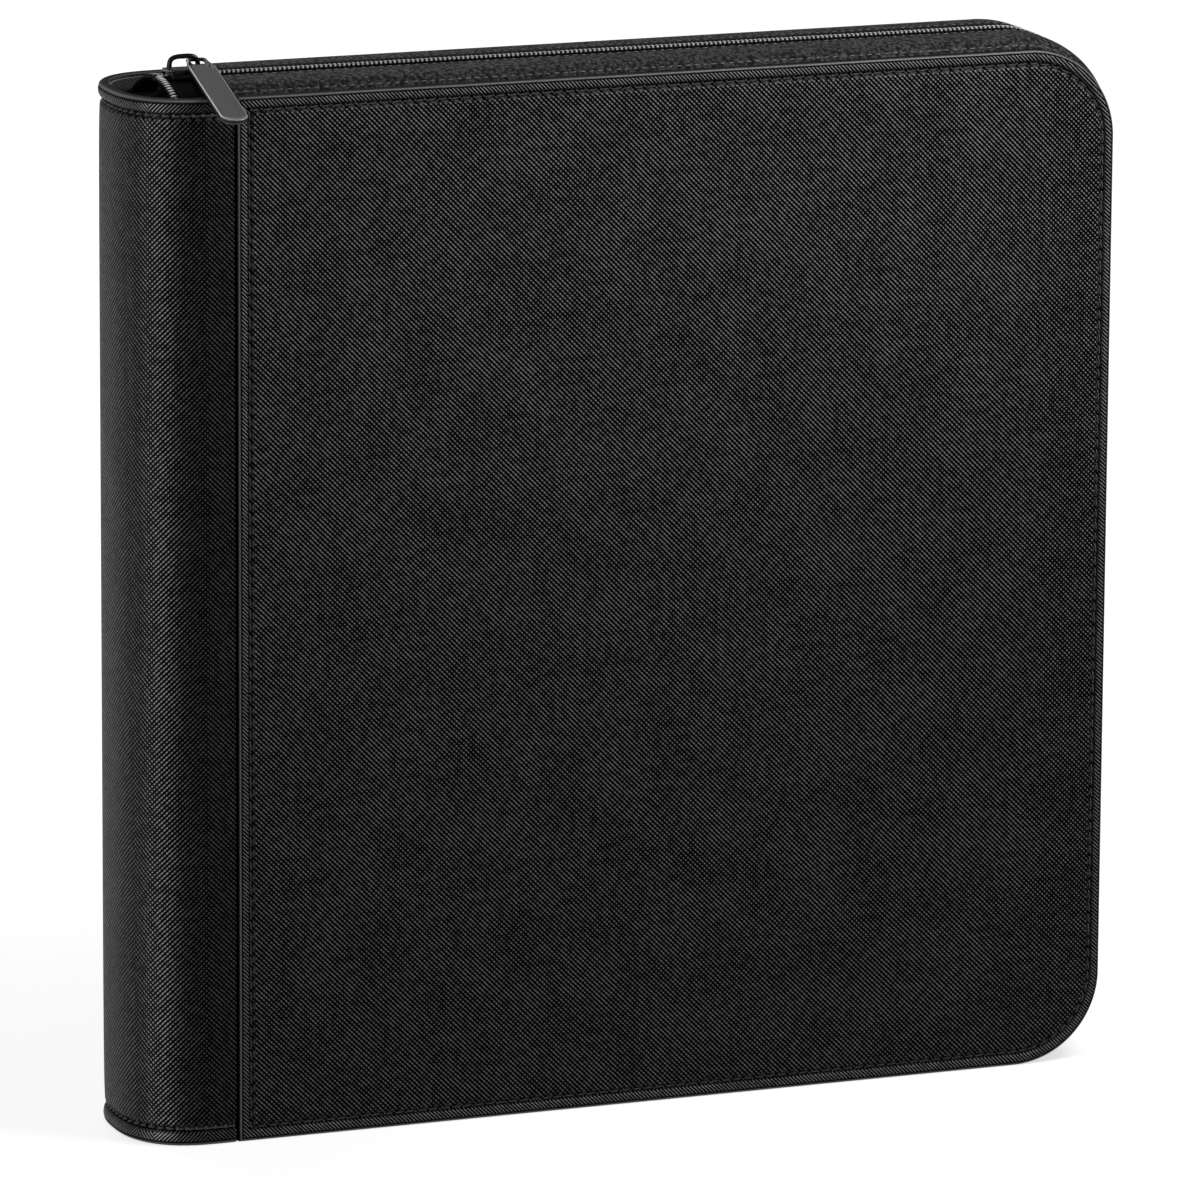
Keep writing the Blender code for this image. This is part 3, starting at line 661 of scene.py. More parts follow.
def coil_turn():
    """One turn of the coil, seen across the zip: away = near to far as a half wave, height as
    a flat arch, with a round wire about it. Axes: along the zip, away from the middle, up."""
    a = np.linspace(0, np.pi, len(WIRE_SHAPE))
    reach = TURN_NEAR + (TURN_FAR - TURN_NEAR) * (1 - np.cos(a)) / 2
    centre = grid(TURN_LEAN * np.cos(a), reach, TURN_RISE * np.sin(a))
    ahead = unit(np.gradient(centre, axis=0))
    side = unit(np.cross(ahead, [0.0, 0.0, 1.0]))
    radius = WIRE * WIRE_SHAPE
    return tube(centre, side, np.cross(side, ahead), radius, radius, 7)


def crown(shape):
    """Pale crown for one turn: its highest part, partly worn by the slider and partly a painted
    highlight where the turn catches the light.
    """
    up = shape[..., 2] / shape[..., 2].max()
    return np.clip((up - 0.92) / 0.06, 0, 1)


TURN = coil_turn()
TURN_CROWN = crown(TURN)


def case_turns(phase):
    """Turns round the open sides, for the front half."""
    line = round_edge(np.array([MIDDLE]), (EDGE_PROUD + TURN_LEVEL)[:, None])[:, 0]
    place, axes = stations(line, EDGE_UP, TOOTH_PITCH, phase)
    toward_front = np.array([1.0, np.sign(-axes[0, 1, 1]), 1.0])
    return copies(TURN * toward_front, place, axes)


tape_sheets = [round_edge(MIDDLE - TAPE_ACROSS, EDGE_PROUD[:, None] + face) for face in TAPE_FACES]
tape_flat = grid(EDGE_RUN[:, None], TAPE_ACROSS)
tapes = both_sides("zip_tape_weave", shell(*tape_sheets), shell_values(tape_flat, tape_flat))
coils = [surface("front_zip_turns", case_turns(0.25), rub=TURN_CROWN),
         surface("back_zip_turns", across_middle(case_turns(0.75)), rub=TURN_CROWN)]
for tape, coil, side in zip(tapes, coils, ("front", "back")):
    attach(tape, f"{side}_case")
    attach(coil, f"{side}_case")
    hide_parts(f"{side}_zip_tape")
    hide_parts(f"{side}_zip_coil")

# %% [markdown]
# On the spine the zip runs straight for the length of the slider. Past it the halves part:
# each tape is folded over on the slant, so that it turns square to the side, and falls to
# the lining, where it is sewn. The row of turns goes round the same corner on a small curve.

# %% the ends of the zip
TAIL_FOLD = -0.0193           # where the two rows part
TAIL_DROP = 0.0070
TAIL_ROUND = 0.0022
SPINE_WALL = 0.0041           # outer face to just inside the lining
ROW_STOPS = 0.0015            # the row ends this far from the wall
HALF_PITCH = np.array([TOOTH_PITCH / 2, 0, 0])


def inside_wall(u):
    """Depth v of the inside of the spine's front wall at u, on the superellipse."""
    reach = BULGE - SPINE_STRAIGHT - SPINE_WALL
    back = np.clip(-SPINE_STRAIGHT - u, 0, reach) / reach
    return MIDDLE - (MIDDLE - SPINE_WALL) * (1 - back ** SPINE_POWER) ** (1 / SPINE_POWER)


def tape_end(sign, edge, proud):
    """P(t, away): straight to the slanting fold while t is below 0, then to the wall, with a
    fall that grows as t squared."""
    t = join(np.linspace(-1, 0, 14), np.linspace(0, 1, 20)[1:])[:, None]
    fall = np.clip(t, 0, 1)
    fold = TAIL_FOLD + TAPE_ACROSS
    u = fold + (fold + SEAM_TO_SPINE) * np.clip(t, -1, 0)
    away = MIDDLE - TAPE_ACROSS
    v = away + (inside_wall(fold) - away) * fall
    sheets = [grid(u, v, edge + sign * (proud + face - TAIL_DROP * fall ** 2))
              for face in TAPE_FACES]
    flat = grid(-SEAM_TO_SPINE - u + away - v, TAPE_ACROSS)
    return shell(*sheets), shell_values(flat, flat)


def row_end(sign, edge, proud):
    """Turns along the middle line: straight, a quarter turn, and down to the wall."""
    turn = np.linspace(0, np.pi / 2, 13)
    wall = float(inside_wall(TAIL_FOLD + 0.0025)) + ROW_STOPS
    curve = grid(TAIL_FOLD + TAIL_ROUND - TAIL_ROUND * np.sin(turn),
                 MIDDLE - TAIL_ROUND + TAIL_ROUND * np.cos(turn))
    flat = resample(join([[-SEAM_TO_SPINE, MIDDLE]], curve, [[TAIL_FOLD, wall]]), 0.0005)
    fall = TAIL_DROP * ((MIDDLE - flat[:, 1]) / (MIDDLE - wall)) ** 2
    line = grid(*flat.T, edge + sign * (proud + TURN_LEVEL - fall))
    up = np.array([0.0, 0.0, sign]) + 0 * line
    return copies(TURN * [1.0, sign, 1.0], *stations(line, up, TOOTH_PITCH))


for end, level in (("top", (1.0, HEIGHT, PROUD)), ("bottom", (-1.0, 0.0, -SUNK))):
    tape_points, end_pattern = tape_end(*level)
    turn_points = row_end(*level)
    pair = (("front", tape_points, turn_points),
            ("back", across_middle(tape_points), across_middle(turn_points) + HALF_PITCH))
    for side, tape_side, turn_side in pair:
        tape = surface(f"{side}_{end}_tape_end", tape_side, end_pattern)
        coil = surface(f"{side}_{end}_turns_end", turn_side, rub=TURN_CROWN)
        tapes.append(tape)
        coils.append(coil)
        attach(tape, "spine")
        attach(coil, "spine")
        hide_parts(f"{side}_{end}_zip_tail")

# %% [markdown]
# The slider is a small casting: a top plate with lips folded down round the two rows, a plate
# under the tapes, and a post between them that parts the rows. A wire bail stands on it, and
# the eye of the pull tab hangs on the bail's right leg.

# %% the slider
slider_low, slider_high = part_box("slider_body")
SLIDER_U = (slider_low.x + slider_high.x) / 2 - SEAM[0]
SLIDER_HALF = (slider_high.x - slider_low.x) / 2
SLIDER_WIDTH = slider_high.y - slider_low.y
PLATE_TOP = slider_high.z - SEAM[2]
PLATE_FLOOR = slider_low.z - SEAM[2]
PLATE = 0.0010
LIP = 0.0012
LIP_LOW = HEIGHT + PROUD + TAPE_TOP + 2 * FIT


def end_of_slider(across, share):
    """Where a line of the slider ends: the nose and the tail are both rounded in plan, the
    nose with a notch for each row."""
    y = across / (SLIDER_WIDTH / 2)
    nose = -SLIDER_HALF * (1 - 0.22 * y ** 2 - 0.10 * bell(y, 0.35))
    tail = SLIDER_HALF * (1 - 0.30 * y ** 2)
    return SLIDER_U + nose + (tail - nose) * share


def slider_top():
    """A sheet over a flat arch: half width |sin a|^(2/p) and height |cos a|^(2/p) with a high
    power, narrowing a little to the tail, and an inner sheet that leaves the channel."""
    a = np.linspace(-np.pi / 2, np.pi / 2, 41)
    share = join([0, 0.015, 0.05], np.linspace(0.1, 0.9, 15), [0.95, 0.985, 1])[:, None]
    pinch = join([0.94, 0.975, 0.995], np.ones(15), [0.995, 0.975, 0.94])[:, None]
    middle_z = (LIP_LOW + PLATE_TOP) / 2

    def arch(half_width, high, power, pinch):
        y = half_width * (1 - 0.10 * share) * squared(np.sin(a), power) * pinch
        z = LIP_LOW + (high - LIP_LOW) * squared(np.cos(a), power)
        return grid(end_of_slider(y, share), MIDDLE + y, middle_z + (z - middle_z) * pinch)

    return shell(arch(SLIDER_WIDTH / 2, PLATE_TOP, 5, pinch),
                 arch(SLIDER_WIDTH / 2 - LIP, PLATE_TOP - PLATE, 7, 1))


def puck(half_length, half_width, centre_u, low, high, power=3.5, edge=0.0003):
    """A rounded plate: rings of a superellipse drawn in at its edges by a quarter round."""
    b = np.linspace(0, 2 * np.pi, 49)
    turn = np.linspace(-np.pi / 2, np.pi / 2, 10)
    inset = edge * (1 - np.cos(turn))
    z = np.where(turn < 0, low + edge, high - edge) + edge * np.sin(turn)
    long, wide, z = [join(*parts)[:, None] for parts in (
        ([0], half_length - inset, [0]), ([0], half_width - inset, [0]), ([low], z, [high]))]
    return grid(centre_u + long * squared(np.cos(b), power),
                MIDDLE + wide * squared(np.sin(b), power), z)


FLOOR_TOP = PLATE_FLOOR + PLATE
POST_U = SLIDER_U - SLIDER_HALF + 0.0030
under = puck(SLIDER_HALF, SLIDER_WIDTH / 2, SLIDER_U, PLATE_FLOOR, FLOOR_TOP)
between = puck(0.0015, 0.0004, POST_U, FLOOR_TOP - 0.0003, PLATE_TOP - 0.0007, 2.5, 0.0001)
top_plate = surface("slider_top_plate", slider_top(), sharp=60)
under_plate = surface("slider_under_plate", under, sharp=60)
post = surface("slider_post", between, sharp=60)
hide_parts("slider_body")

# %% the bail
bail_low, bail_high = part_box("slider_bail")
BAIL_WIRE = (bail_high.y - bail_low.y) * 1.2
BAIL_SETTLED = 0.0008         # the wire is pressed down a little, and the tab with it
BAIL_FOOT = PLATE_TOP - 0.0002
BAIL_HALF = (bail_high.x - bail_low.x - BAIL_WIRE) / 2
BAIL_TOP = bail_high.z - SEAM[2] - BAIL_WIRE / 2 - BAIL_SETTLED
BAIL_POWER = 3.6


def bail():
    """A wire along a flat arch, x = half |cos a|^(2/p), z = rise |sin a|^(2/p), with spread
    feet, a little wider than thick."""
    a = np.linspace(np.pi, 0, 49)
    line = resample(grid(SLIDER_U + BAIL_HALF * squared(np.cos(a), BAIL_POWER), MIDDLE,
                         BAIL_FOOT + (BAIL_TOP - BAIL_FOOT) * squared(np.sin(a), BAIL_POWER)),
                    0.0003)
    run = run_of(line)
    side = np.array([0.0, 1.0, 0.0]) + 0 * line
    over = np.cross(side, unit(np.gradient(line, run, axis=0)))
    foot = np.exp(-np.minimum(run, run[-1] - run) / 0.0006)
    return tube(line, side, over, BAIL_WIRE / 2 * (1.0 + 0.45 * foot),
                BAIL_WIRE / 2 * (1.0 + 0.25 * foot), 17)


bail_piece = surface("slider_bail_wire", bail(), sharp=60)
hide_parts("slider_bail")
for piece in (top_plate, under_plate, post, bail_piece):
    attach(piece, "slider")

# %% [markdown]
# The pull tab is pressed from flat metal. Its eye end is thinner, and a raised shoulder
# arches across the tab just past the eye. Its edges are bevelled. The plate is one surface
# from the rim of the eye out to the edge of the tab, over the edge and back underneath.

# %% the pull tab
TAB_WIDTH, TAB_LENGTH, TAB_THICK = 0.0086, 0.0560, 0.0016
TAB_ARM = 0.0011
TAB_CORNER = 0.0012
TAB_BEVEL = 0.00045
EYE_WIDTH, EYE_BACK, EYE_FRONT = 0.0044, 0.0015, 0.0036
EYE_THICK, EYE_EDGE = 0.0010, 0.0002
EYE_POWER = 4
TAB_TURN = math.radians(5.5)
TAB_RISE = 0.0025
BAIL_SPAN = 0.0095
TAB_PIVOT = np.array([SLIDER_U + BAIL_SPAN / 2 - FIT, MIDDLE, PLATE_TOP + TAB_RISE - BAIL_SETTLED])
TAB_FALL = math.atan2(TAB_PIVOT[2] - HEIGHT - TAB_THICK / 2 - 2 * FIT, MIDDLE)
TAB_TIP = TAB_LENGTH - EYE_BACK - TAB_ARM - TAB_WIDTH / 2


def tab_outline(margin):
    """Round the tab, (across, along), drawn in by a margin: the eye's end, the slanting
    shoulders, the long sides and the half round tip."""
    half = TAB_WIDTH / 2 - margin
    neck = EYE_WIDTH / 2 + TAB_ARM - margin
    back = -EYE_BACK - TAB_ARM + margin
    turn = np.linspace(0, np.pi / 2, 9)
    t = np.linspace(0, 1, 13)[1:]
    tip = np.linspace(0, np.pi / 2, 17)[1:]
    from_s, to_s = back + TAB_CORNER, EYE_FRONT + 2 * TAB_ARM
    right = join([[0, back]],
                 grid(neck - TAB_CORNER + TAB_CORNER * np.sin(turn),
                      from_s - TAB_CORNER * np.cos(turn)),
                 grid(neck + (half - neck) * t * t * (3 - 2 * t), from_s + (to_s - from_s) * t),
                 grid(half, to_s + (TAB_TIP - to_s) * t),
                 grid(half * np.cos(tip), TAB_TIP + half * np.sin(tip)))
    return join(right, right[-2::-1] * [-1, 1])


def eye_outline(margin):
    """Round the eye, a rounded oblong, at the same turns as the tab's outline."""
    across, along = tab_outline(0).T
    middle = (EYE_FRONT - EYE_BACK) / 2
    angle = np.arctan2(across, middle - along)
    half_x, half_s = EYE_WIDTH / 2 + margin, (EYE_FRONT + EYE_BACK) / 2 + margin
    reach = (np.abs(np.sin(angle) / half_x) ** EYE_POWER
             + np.abs(np.cos(angle) / half_s) ** EYE_POWER) ** (-1 / EYE_POWER)
    return grid(reach * np.sin(angle), middle - reach * np.cos(angle))


def tab_half(flat):
    """Half the thickness at a point of the tab: thin at the eye, full past an arched line."""
    arch = EYE_FRONT + 0.0016 - 0.0010 * (flat[..., 0] / (TAB_WIDTH / 2)) ** 2
    step = np.clip((flat[..., 1] - arch) / 0.0005, 0, 1)
    return (EYE_THICK + (TAB_THICK - EYE_THICK) * step * step * (3 - 2 * step)) / 2


def pull_tab():
    """P(s, w): from the eye's edge to the bevel, over the edge, and back below. It is laid out
    flat, then tipped down to the case's edge and turned a little."""
    outer, inner = tab_outline(TAB_BEVEL), eye_outline(EYE_EDGE)
    shares = join(np.linspace(0, 0.35, 50), np.linspace(0.38, 1, 16))[:, None, None]
    flat = inner + (outer - inner) * shares
    turn = np.linspace(0, np.pi / 2, 5)[1:]
    edge_flat = np.stack([tab_outline(TAB_BEVEL * (1 - math.sin(t))) for t in turn])
    edge_up = tab_half(outer) - TAB_BEVEL * (1 - np.cos(turn))[:, None]
    eye = eye_outline(0)[None]
    top = join(np.dstack([eye, tab_half(eye) - EYE_EDGE]), np.dstack([flat, tab_half(flat)]),
               np.dstack([edge_flat, edge_up]))
    across, along, up = np.moveaxis(join(top, top[::-1] * [1, 1, -1], top[:1]), -1, 0)
    # The bevels are painted pale: partly worn coating, partly a painted highlight.
    bevel = join(np.zeros(len(top) - len(turn) - 1), [0.3], np.linspace(1.0, 0.0, len(turn)))
    rub = join(bevel, bevel[::-1], bevel[:1])[:, None] + 0 * across
    fall_cos, fall_sin = math.cos(TAB_FALL), math.sin(TAB_FALL)
    turn_cos, turn_sin = math.cos(TAB_TURN), math.sin(TAB_TURN)
    y = -along * fall_cos - up * fall_sin
    z = -along * fall_sin + up * fall_cos
    turned = grid(across * turn_cos + y * turn_sin, y * turn_cos - across * turn_sin, z)
    return TAB_PIVOT + turned, rub


tab_points, tab_rub = pull_tab()
tab = surface("pull_tab_pressed", tab_points, sharp=50, rub=tab_rub)
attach(tab, "pull")
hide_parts("pull_tab")

# %% [markdown]
# Every finish is a few nodes. A short helper adds them and wires them in the order in which a
# maker would describe the finish, and the patterns that several finishes share are groups.

# %% helpers for node trees
class Finish:
    """Adds nodes to a tree; each call gives back the new node's output, ready to be used."""

    def __init__(self, tree):
        self.tree = tree

    def add(self, kind, **settings):
        node = self.tree.nodes.new(kind)
        for key, value in settings.items():
            setattr(node, key, value)
        return node

    def feed(self, socket, value):
        if isinstance(value, bpy.types.NodeSocket):
            self.tree.links.new(value, socket)
        else:
            socket.default_value = value

    def fed(self, kind, values, **settings):
        """A node with its inputs fed by name or number."""
        node = self.add(kind, **settings)
        for name, value in values.items():
            self.feed(node.inputs[name], value)
        return node.outputs

    def math(self, operation, *values, clamp=False):
        return self.fed("ShaderNodeMath", dict(enumerate(values)), operation=operation,
                        use_clamp=clamp)[0]

    def times(self, a, b):
        return self.math("MULTIPLY", a, b)

    def less(self, a, b):
        return self.math("SUBTRACT", a, b)

    def scaled(self, a, by, more):
        """a times by, plus more."""
        return self.math("MULTIPLY_ADD", a, by, more)

    def blend(self, share, low, high):
        """Colours mixed by a share."""
        return self.fed("ShaderNodeMix", {0: share, 6: low, 7: high}, data_type="RGBA")[2]

    def span(self, value, low, high, to_low=0.0, to_high=1.0):
        """A smooth step from to_low to to_high, while the value goes from low to high."""
        return self.fed("ShaderNodeMapRange", dict(enumerate((value, low, high, to_low, to_high))),
                        interpolation_type="SMOOTHSTEP")[0]

    def noise(self, vector, scale, detail=2.0, roughness=0.5):
        return self.fed("ShaderNodeTexNoise", {"Vector": vector, "Scale": scale, "Detail": detail,
                                               "Roughness": roughness})[0]

    def split(self, vector):
        return self.fed("ShaderNodeSeparateXYZ", {0: vector})

    def bump(self, height, distance):
        return self.fed("ShaderNodeBump", {"Height": height, "Distance": distance})[0]

    def pattern(self):
        """Metres along the skin."""
        return self.add("ShaderNodeUVMap", uv_map="pattern").outputs[0]

    def place(self):
        return self.add("ShaderNodeTexCoord").outputs["Object"]

    def kept(self, title):
        """A value kept on the piece's points."""
        return self.add("ShaderNodeAttribute", attribute_name=title).outputs["Fac"]


def new_group(name, outputs, **inputs):
    """An empty group with a Vector and named numbers to feed; gives back its Finish, its
    inputs and its end node."""
    tree = bpy.data.node_groups.new(name, "ShaderNodeTree")
    tree.interface.new_socket("Vector", in_out="INPUT", socket_type="NodeSocketVector")
    for socket, value in inputs.items():
        made = tree.interface.new_socket(socket, in_out="INPUT", socket_type="NodeSocketFloat")
        made.default_value = value
    for socket in outputs:
        tree.interface.new_socket(socket, in_out="OUTPUT", socket_type="NodeSocketFloat")
    finish = Finish(tree)
    return finish, finish.add("NodeGroupInput").outputs, finish.add("NodeGroupOutput").inputs


def new_material(name, metallic=0.0, specular=0.5, coat=0.0, coat_roughness=0.03):
    """A material with its plain shader values set; gives back its Finish and the shader."""
    material = bpy.data.materials.new(name)
    material.use_nodes = True
    shader = material.node_tree.nodes["Principled BSDF"].inputs
    for socket, value in (("Metallic", metallic), ("Specular IOR Level", specular),
                          ("Coat Weight", coat), ("Coat Roughness", coat_roughness)):
        shader[socket].default_value = value
    return material, Finish(material.node_tree), shader


def grey(value):
    return (value, value, value * 1.02, 1.0)


def lay_on(finish, shader, share, dark, light, gloss, height, depth):
    """Colour from dark to light by a share, roughness, and relief of a depth in metres."""
    finish.feed(shader["Base Color"], finish.blend(share, grey(dark), grey(light)))
    finish.feed(shader["Roughness"], gloss)
    finish.feed(shader["Normal"], finish.bump(height, depth))


def dress(material, *pieces):
    """Put a material on pieces, in place of whatever they had."""
    for piece in pieces:
        piece.data.materials.clear()
        piece.data.materials.append(material)
    print(f"{material.name} on {len(pieces)} pieces")

# %% [markdown]
# Cross-grain leatherette is embossed between rollers with two sets of fine diagonal ridges.
# Where they cross there is a small raised bead. From the side one set catches more light
# than the other, which gives the cloth-like look. The group draws both sets from metres
# along the skin, wobbles them a little, and gives a height and a mask of the ridge tops.

# %% the cross grain
GRAIN_PITCH = 0.001135
NOTCH = 0.35                  # how deep one set of ridges notches the other
finish, given, out = new_group("Cross grain", ("Height", "Tops"),
                               Balance=0.75, Notch=NOTCH, Pitch=GRAIN_PITCH)
u, v, _ = finish.split(given["Vector"])
sway = finish.less(finish.noise(given["Vector"], 260.0, 2.0), 0.5)
per_pitch = finish.math("DIVIDE", 2 * math.pi / math.sqrt(2), given["Pitch"])
falling = finish.scaled(finish.math("ADD", u, v), per_pitch, sway)
rising = finish.less(finish.times(finish.less(u, v), per_pitch), sway)
ridges = [finish.scaled(finish.math("COSINE", way), 0.5, 0.5) for way in (falling, rising)]
plain = finish.less(1.0, given["Notch"])
notched_a, notched_b = [finish.times(one, finish.scaled(other, given["Notch"], plain))
                        for one, other in (ridges, ridges[::-1])]
height = finish.scaled(notched_a, given["Balance"],
                       finish.times(notched_b, finish.less(1.0, given["Balance"])))
finish.feed(out["Height"], height)
uneven = finish.span(finish.noise(given["Vector"], 420.0, 2.0, 0.5), 0.32, 0.68, 0.84, 1.06)
broad = finish.span(finish.noise(given["Vector"], 60.0, 3.0, 0.6), 0.35, 0.65, 0.94, 1.03)
tall = finish.times(height, finish.times(uneven, broad))
finish.feed(out["Tops"], finish.span(tall, 0.42, 0.92))
cross_grain = finish.tree
print(f"ridges {GRAIN_PITCH * 1000:.2f} mm apart")

# %% [markdown]
# The grain is the same on every skin. The covers and the spine each have a short function
# that says which set of ridges stands proud, how much painted light the tops get and how far
# a painted sheen evens them. One function turns that into a finish: near black in the
# valleys, with paler and glossier tops, the paleness partly a painted highlight where the
# ridges catch the light.

# %% the leatherette of the covers and the spine
RIM_NOTCH, RIM_FINER = -0.33, -0.22           # on the rims the skin is stretched over a cord
WEAR_AND_HIGHLIGHT_SHARE = 0.50
SHEEN_TOPS = 0.42              # what the tops come to where a painted sheen evens them
GRAIN_RELIEF = 0.00022


def leatherette(name, lean, dark=0.0002, light=0.36):
    """Near black between the ridges, paler and smoother on their tops, the paleness partly a
    painted highlight where the ridges catch the light. lean gives the balance of the two sets
    of ridges, how much painted light the tops get and how far a painted sheen evens them,
    from metres along the skin."""
    material, finish, shader = new_material(name, specular=0.03, coat_roughness=0.36)
    along = finish.pattern()
    rub, rim, pressed = [finish.kept(title) for title in WORN_AND_LIT]
    balance, painted_light, painted_sheen = lean(finish, along)
    one_set = finish.span(balance, 0.40, 0.60)
    grain = finish.fed("ShaderNodeGroup", {
        "Vector": along, "Balance": finish.scaled(finish.less(one_set, balance), rim, balance),
        "Notch": finish.scaled(rim, RIM_NOTCH, NOTCH),
        "Pitch": finish.scaled(rim, RIM_FINER * GRAIN_PITCH, GRAIN_PITCH)}, node_tree=cross_grain)
    flat = finish.less(1.0, pressed)
    tops = finish.scaled(finish.less(SHEEN_TOPS, grain["Tops"]), painted_sheen, grain["Tops"])
    tops = finish.times(tops, finish.times(painted_light, flat))
    worn_and_lit = finish.math("MAXIMUM", tops, finish.times(rub, WEAR_AND_HIGHLIGHT_SHARE))
    finish.feed(shader["Coat Weight"], finish.math("MULTIPLY", worn_and_lit, 0.4, clamp=True))
    lay_on(finish, shader, finish.times(worn_and_lit, 0.5), dark, light,
           finish.span(worn_and_lit, 0.0, 1.0, 0.65, 0.40), finish.times(grain["Height"], flat),
           GRAIN_RELIEF)
    return material


def cover_lean(finish, along):
    """The falling ridges stand proud almost everywhere; in soft patches, and toward the fore
    edge, the others show too. The tops are painted paler toward the top of the cover and
    darker toward its foot: painted light, falling from above."""
    u, v, _ = finish.split(along)
    patches = finish.span(finish.noise(along, 45.0, 2.0), 0.30, 0.60, 0.86, 1.0)
    near_edge = finish.span(u, WIDTH - 0.035, WIDTH - 0.008, 0.0, 0.22)
    return finish.less(patches, near_edge), finish.span(v, 0.02, 0.31, 0.80, 1.12), 0.0


LIT_BEND_AT = 0.025             # from the middle of the spine to its bend


def spine_lean(finish, along):
    """Round the spine the set of ridges that stands proud changes over in bands, and both
    halves mirror each other, which reads as a herringbone. The crown's grain is evened to a
    smooth grey as a painted sheen, the bend gets a painted highlight, and the sides by the
    hinges are painted darker as painted shade."""
    u, v, _ = finish.split(along)
    middle = finish.math("ABSOLUTE", finish.less(u, float(SPINE_RUN[-1] / 2)))
    slanting = finish.scaled(v, 0.018, middle)
    first = finish.times(finish.span(slanting, 0.0155, 0.0190),
                         finish.span(middle, 0.0205, 0.0250, 1.0, 0.0))
    band = finish.math("ADD", first, finish.span(middle, 0.0380, 0.0420))
    # Painted shade by the hinges, a painted highlight on the bend and a painted sheen on the crown.
    side = finish.span(middle, LIT_BEND_AT + 0.002, LIT_BEND_AT + 0.013, 1.0, 0.42)
    bend = finish.times(finish.span(middle, LIT_BEND_AT - 0.007, LIT_BEND_AT),
                        finish.span(middle, LIT_BEND_AT, LIT_BEND_AT + 0.008, 1.0, 0.0))
    painted_sheen = finish.span(middle, 0.0, LIT_BEND_AT + 0.005, 0.38, 0.0)
    return finish.scaled(band, -0.88, 0.94), finish.scaled(bend, 1.5, side), painted_sheen


dress(leatherette("cover leatherette", cover_lean), *skins)
dress(leatherette("spine leatherette", spine_lean), spine_piece, *folds)

# %% [markdown]
# The gusset is a thinner skin with a pebble grain, the tapes are woven nylon, and thread,
# coil and metal are plainer. Two more groups draw the pebbles and the weave.

# %% pebbles and weave
finish, given, out = new_group("Pebble grain", ("Height", "Tops"), Scale=1600.0)
cells = finish.fed("ShaderNodeTexVoronoi", {"Vector": given["Vector"], "Scale": given["Scale"]},
                   feature="SMOOTH_F1")
pebble = finish.math("SUBTRACT", 1.0, cells["Distance"], clamp=True)
height = finish.scaled(finish.noise(given["Vector"], 2600.0, 2.0), 0.35, pebble)
finish.feed(out["Height"], height)
finish.feed(out["Tops"], finish.span(height, 0.50, 1.20))
pebble_grain = finish.tree

finish, given, out = new_group("Plain weave", ("Height", "Tops"), Threads=2200.0)
waves = [finish.math("SINE", finish.times(finish.times(way, given["Threads"]), math.pi))
         for way in list(finish.split(given["Vector"]))[:2]]
over = finish.times(*waves)
finish.feed(out["Height"], finish.math("ABSOLUTE", over))
finish.feed(out["Tops"], finish.span(finish.scaled(over, 0.5, 0.5), 0.2, 0.8))
plain_weave = finish.tree
print("groups:", pebble_grain.name, "and", plain_weave.name)

# %% gusset, tape, thread, coil and metal
PEBBLE_STRETCH = (1.0, 0.70, 1.0)


def pebbled(name, dark, light, relief, scale):
    """Pebbles, a little drawn out toward the zip, and plain black tape where the tape value
    of the piece is 1."""
    material, finish, shader = new_material(name, specular=0.08)
    place = finish.fed("ShaderNodeVectorMath", {0: finish.place(), 1: PEBBLE_STRETCH},
                       operation="MULTIPLY")[0]
    grain = finish.fed("ShaderNodeGroup", {"Vector": place, "Scale": scale}, node_tree=pebble_grain)
    tops = finish.times(grain["Tops"], finish.less(1.0, finish.kept("tape")))
    lay_on(finish, shader, tops, dark, light, finish.span(tops, 0, 1, 0.8, 0.5),
           grain["Height"], relief)
    return material


def woven(name, dark, light, threads, relief, on_face=False):
    """A plain weave along the piece's own pattern, or on an upright face of the case."""
    material, finish, shader = new_material(name, specular=0.02)
    if on_face:
        place = finish.fed("ShaderNodeMapping", {"Vector": finish.place(),
                                                 "Rotation": (math.radians(90), 0, 0)})[0]
    else:
        place = finish.pattern()
    weave = finish.fed("ShaderNodeGroup", {"Vector": place, "Threads": threads},
                       node_tree=plain_weave)
    lay_on(finish, shader, weave["Tops"], dark, light, finish.span(weave["Tops"], 0, 1, 0.9, 0.75),
           weave["Height"], relief)
    return material


def speckled(name, dark, light, roughness, scale, **plain):
    """A nearly plain finish: fine mottling in colour and gloss, and a faint grain."""
    material, finish, shader = new_material(name, **plain)
    fine = finish.noise(finish.place(), scale, 4.0, 0.6)
    lay_on(finish, shader, fine, dark, light,
           finish.span(fine, 0.3, 0.7, roughness - 0.06, roughness + 0.08), fine, 0.00002)
    return material


def rubbed(name, dark, light, roughness, **plain):
    """A hard finish, pale where the piece's wear and highlight value is high: partly polished by
    touch, partly a painted highlight.
    """
    material, finish, shader = new_material(name, **plain)
    fine = finish.noise(finish.place(), 900.0, 4.0, 0.6)
    lay_on(finish, shader, finish.kept("rub"), dark, light,
           finish.span(fine, 0.3, 0.7, roughness - 0.05, roughness + 0.07), fine, 0.00002)
    return material


dress(pebbled("gusset leatherette", 0.004, 0.050, 0.00012, 1000.0), *gussets)
dress(woven("zip tape weave", 0.0008, 0.006, 2000.0, 0.00008), *tapes)
dress(speckled("waxed thread", 0.006, 0.130, 0.45, 3000.0, specular=0.3),
      *stitching, *gusset_threads)
# The coil's pale crowns are partly a painted highlight.
dress(rubbed("nylon coil", 0.001, 0.48, 0.30, specular=0.10), *coils)
dress(rubbed("black metal", 0.004, 0.16, 0.18, metallic=0.3, specular=0.35),
      top_plate, under_plate, post, bail_piece)
# The tab's pale bevels are partly a painted highlight.
dress(rubbed("satin metal", 0.006, 0.34, 0.38, metallic=0.15, specular=0.20), tab)

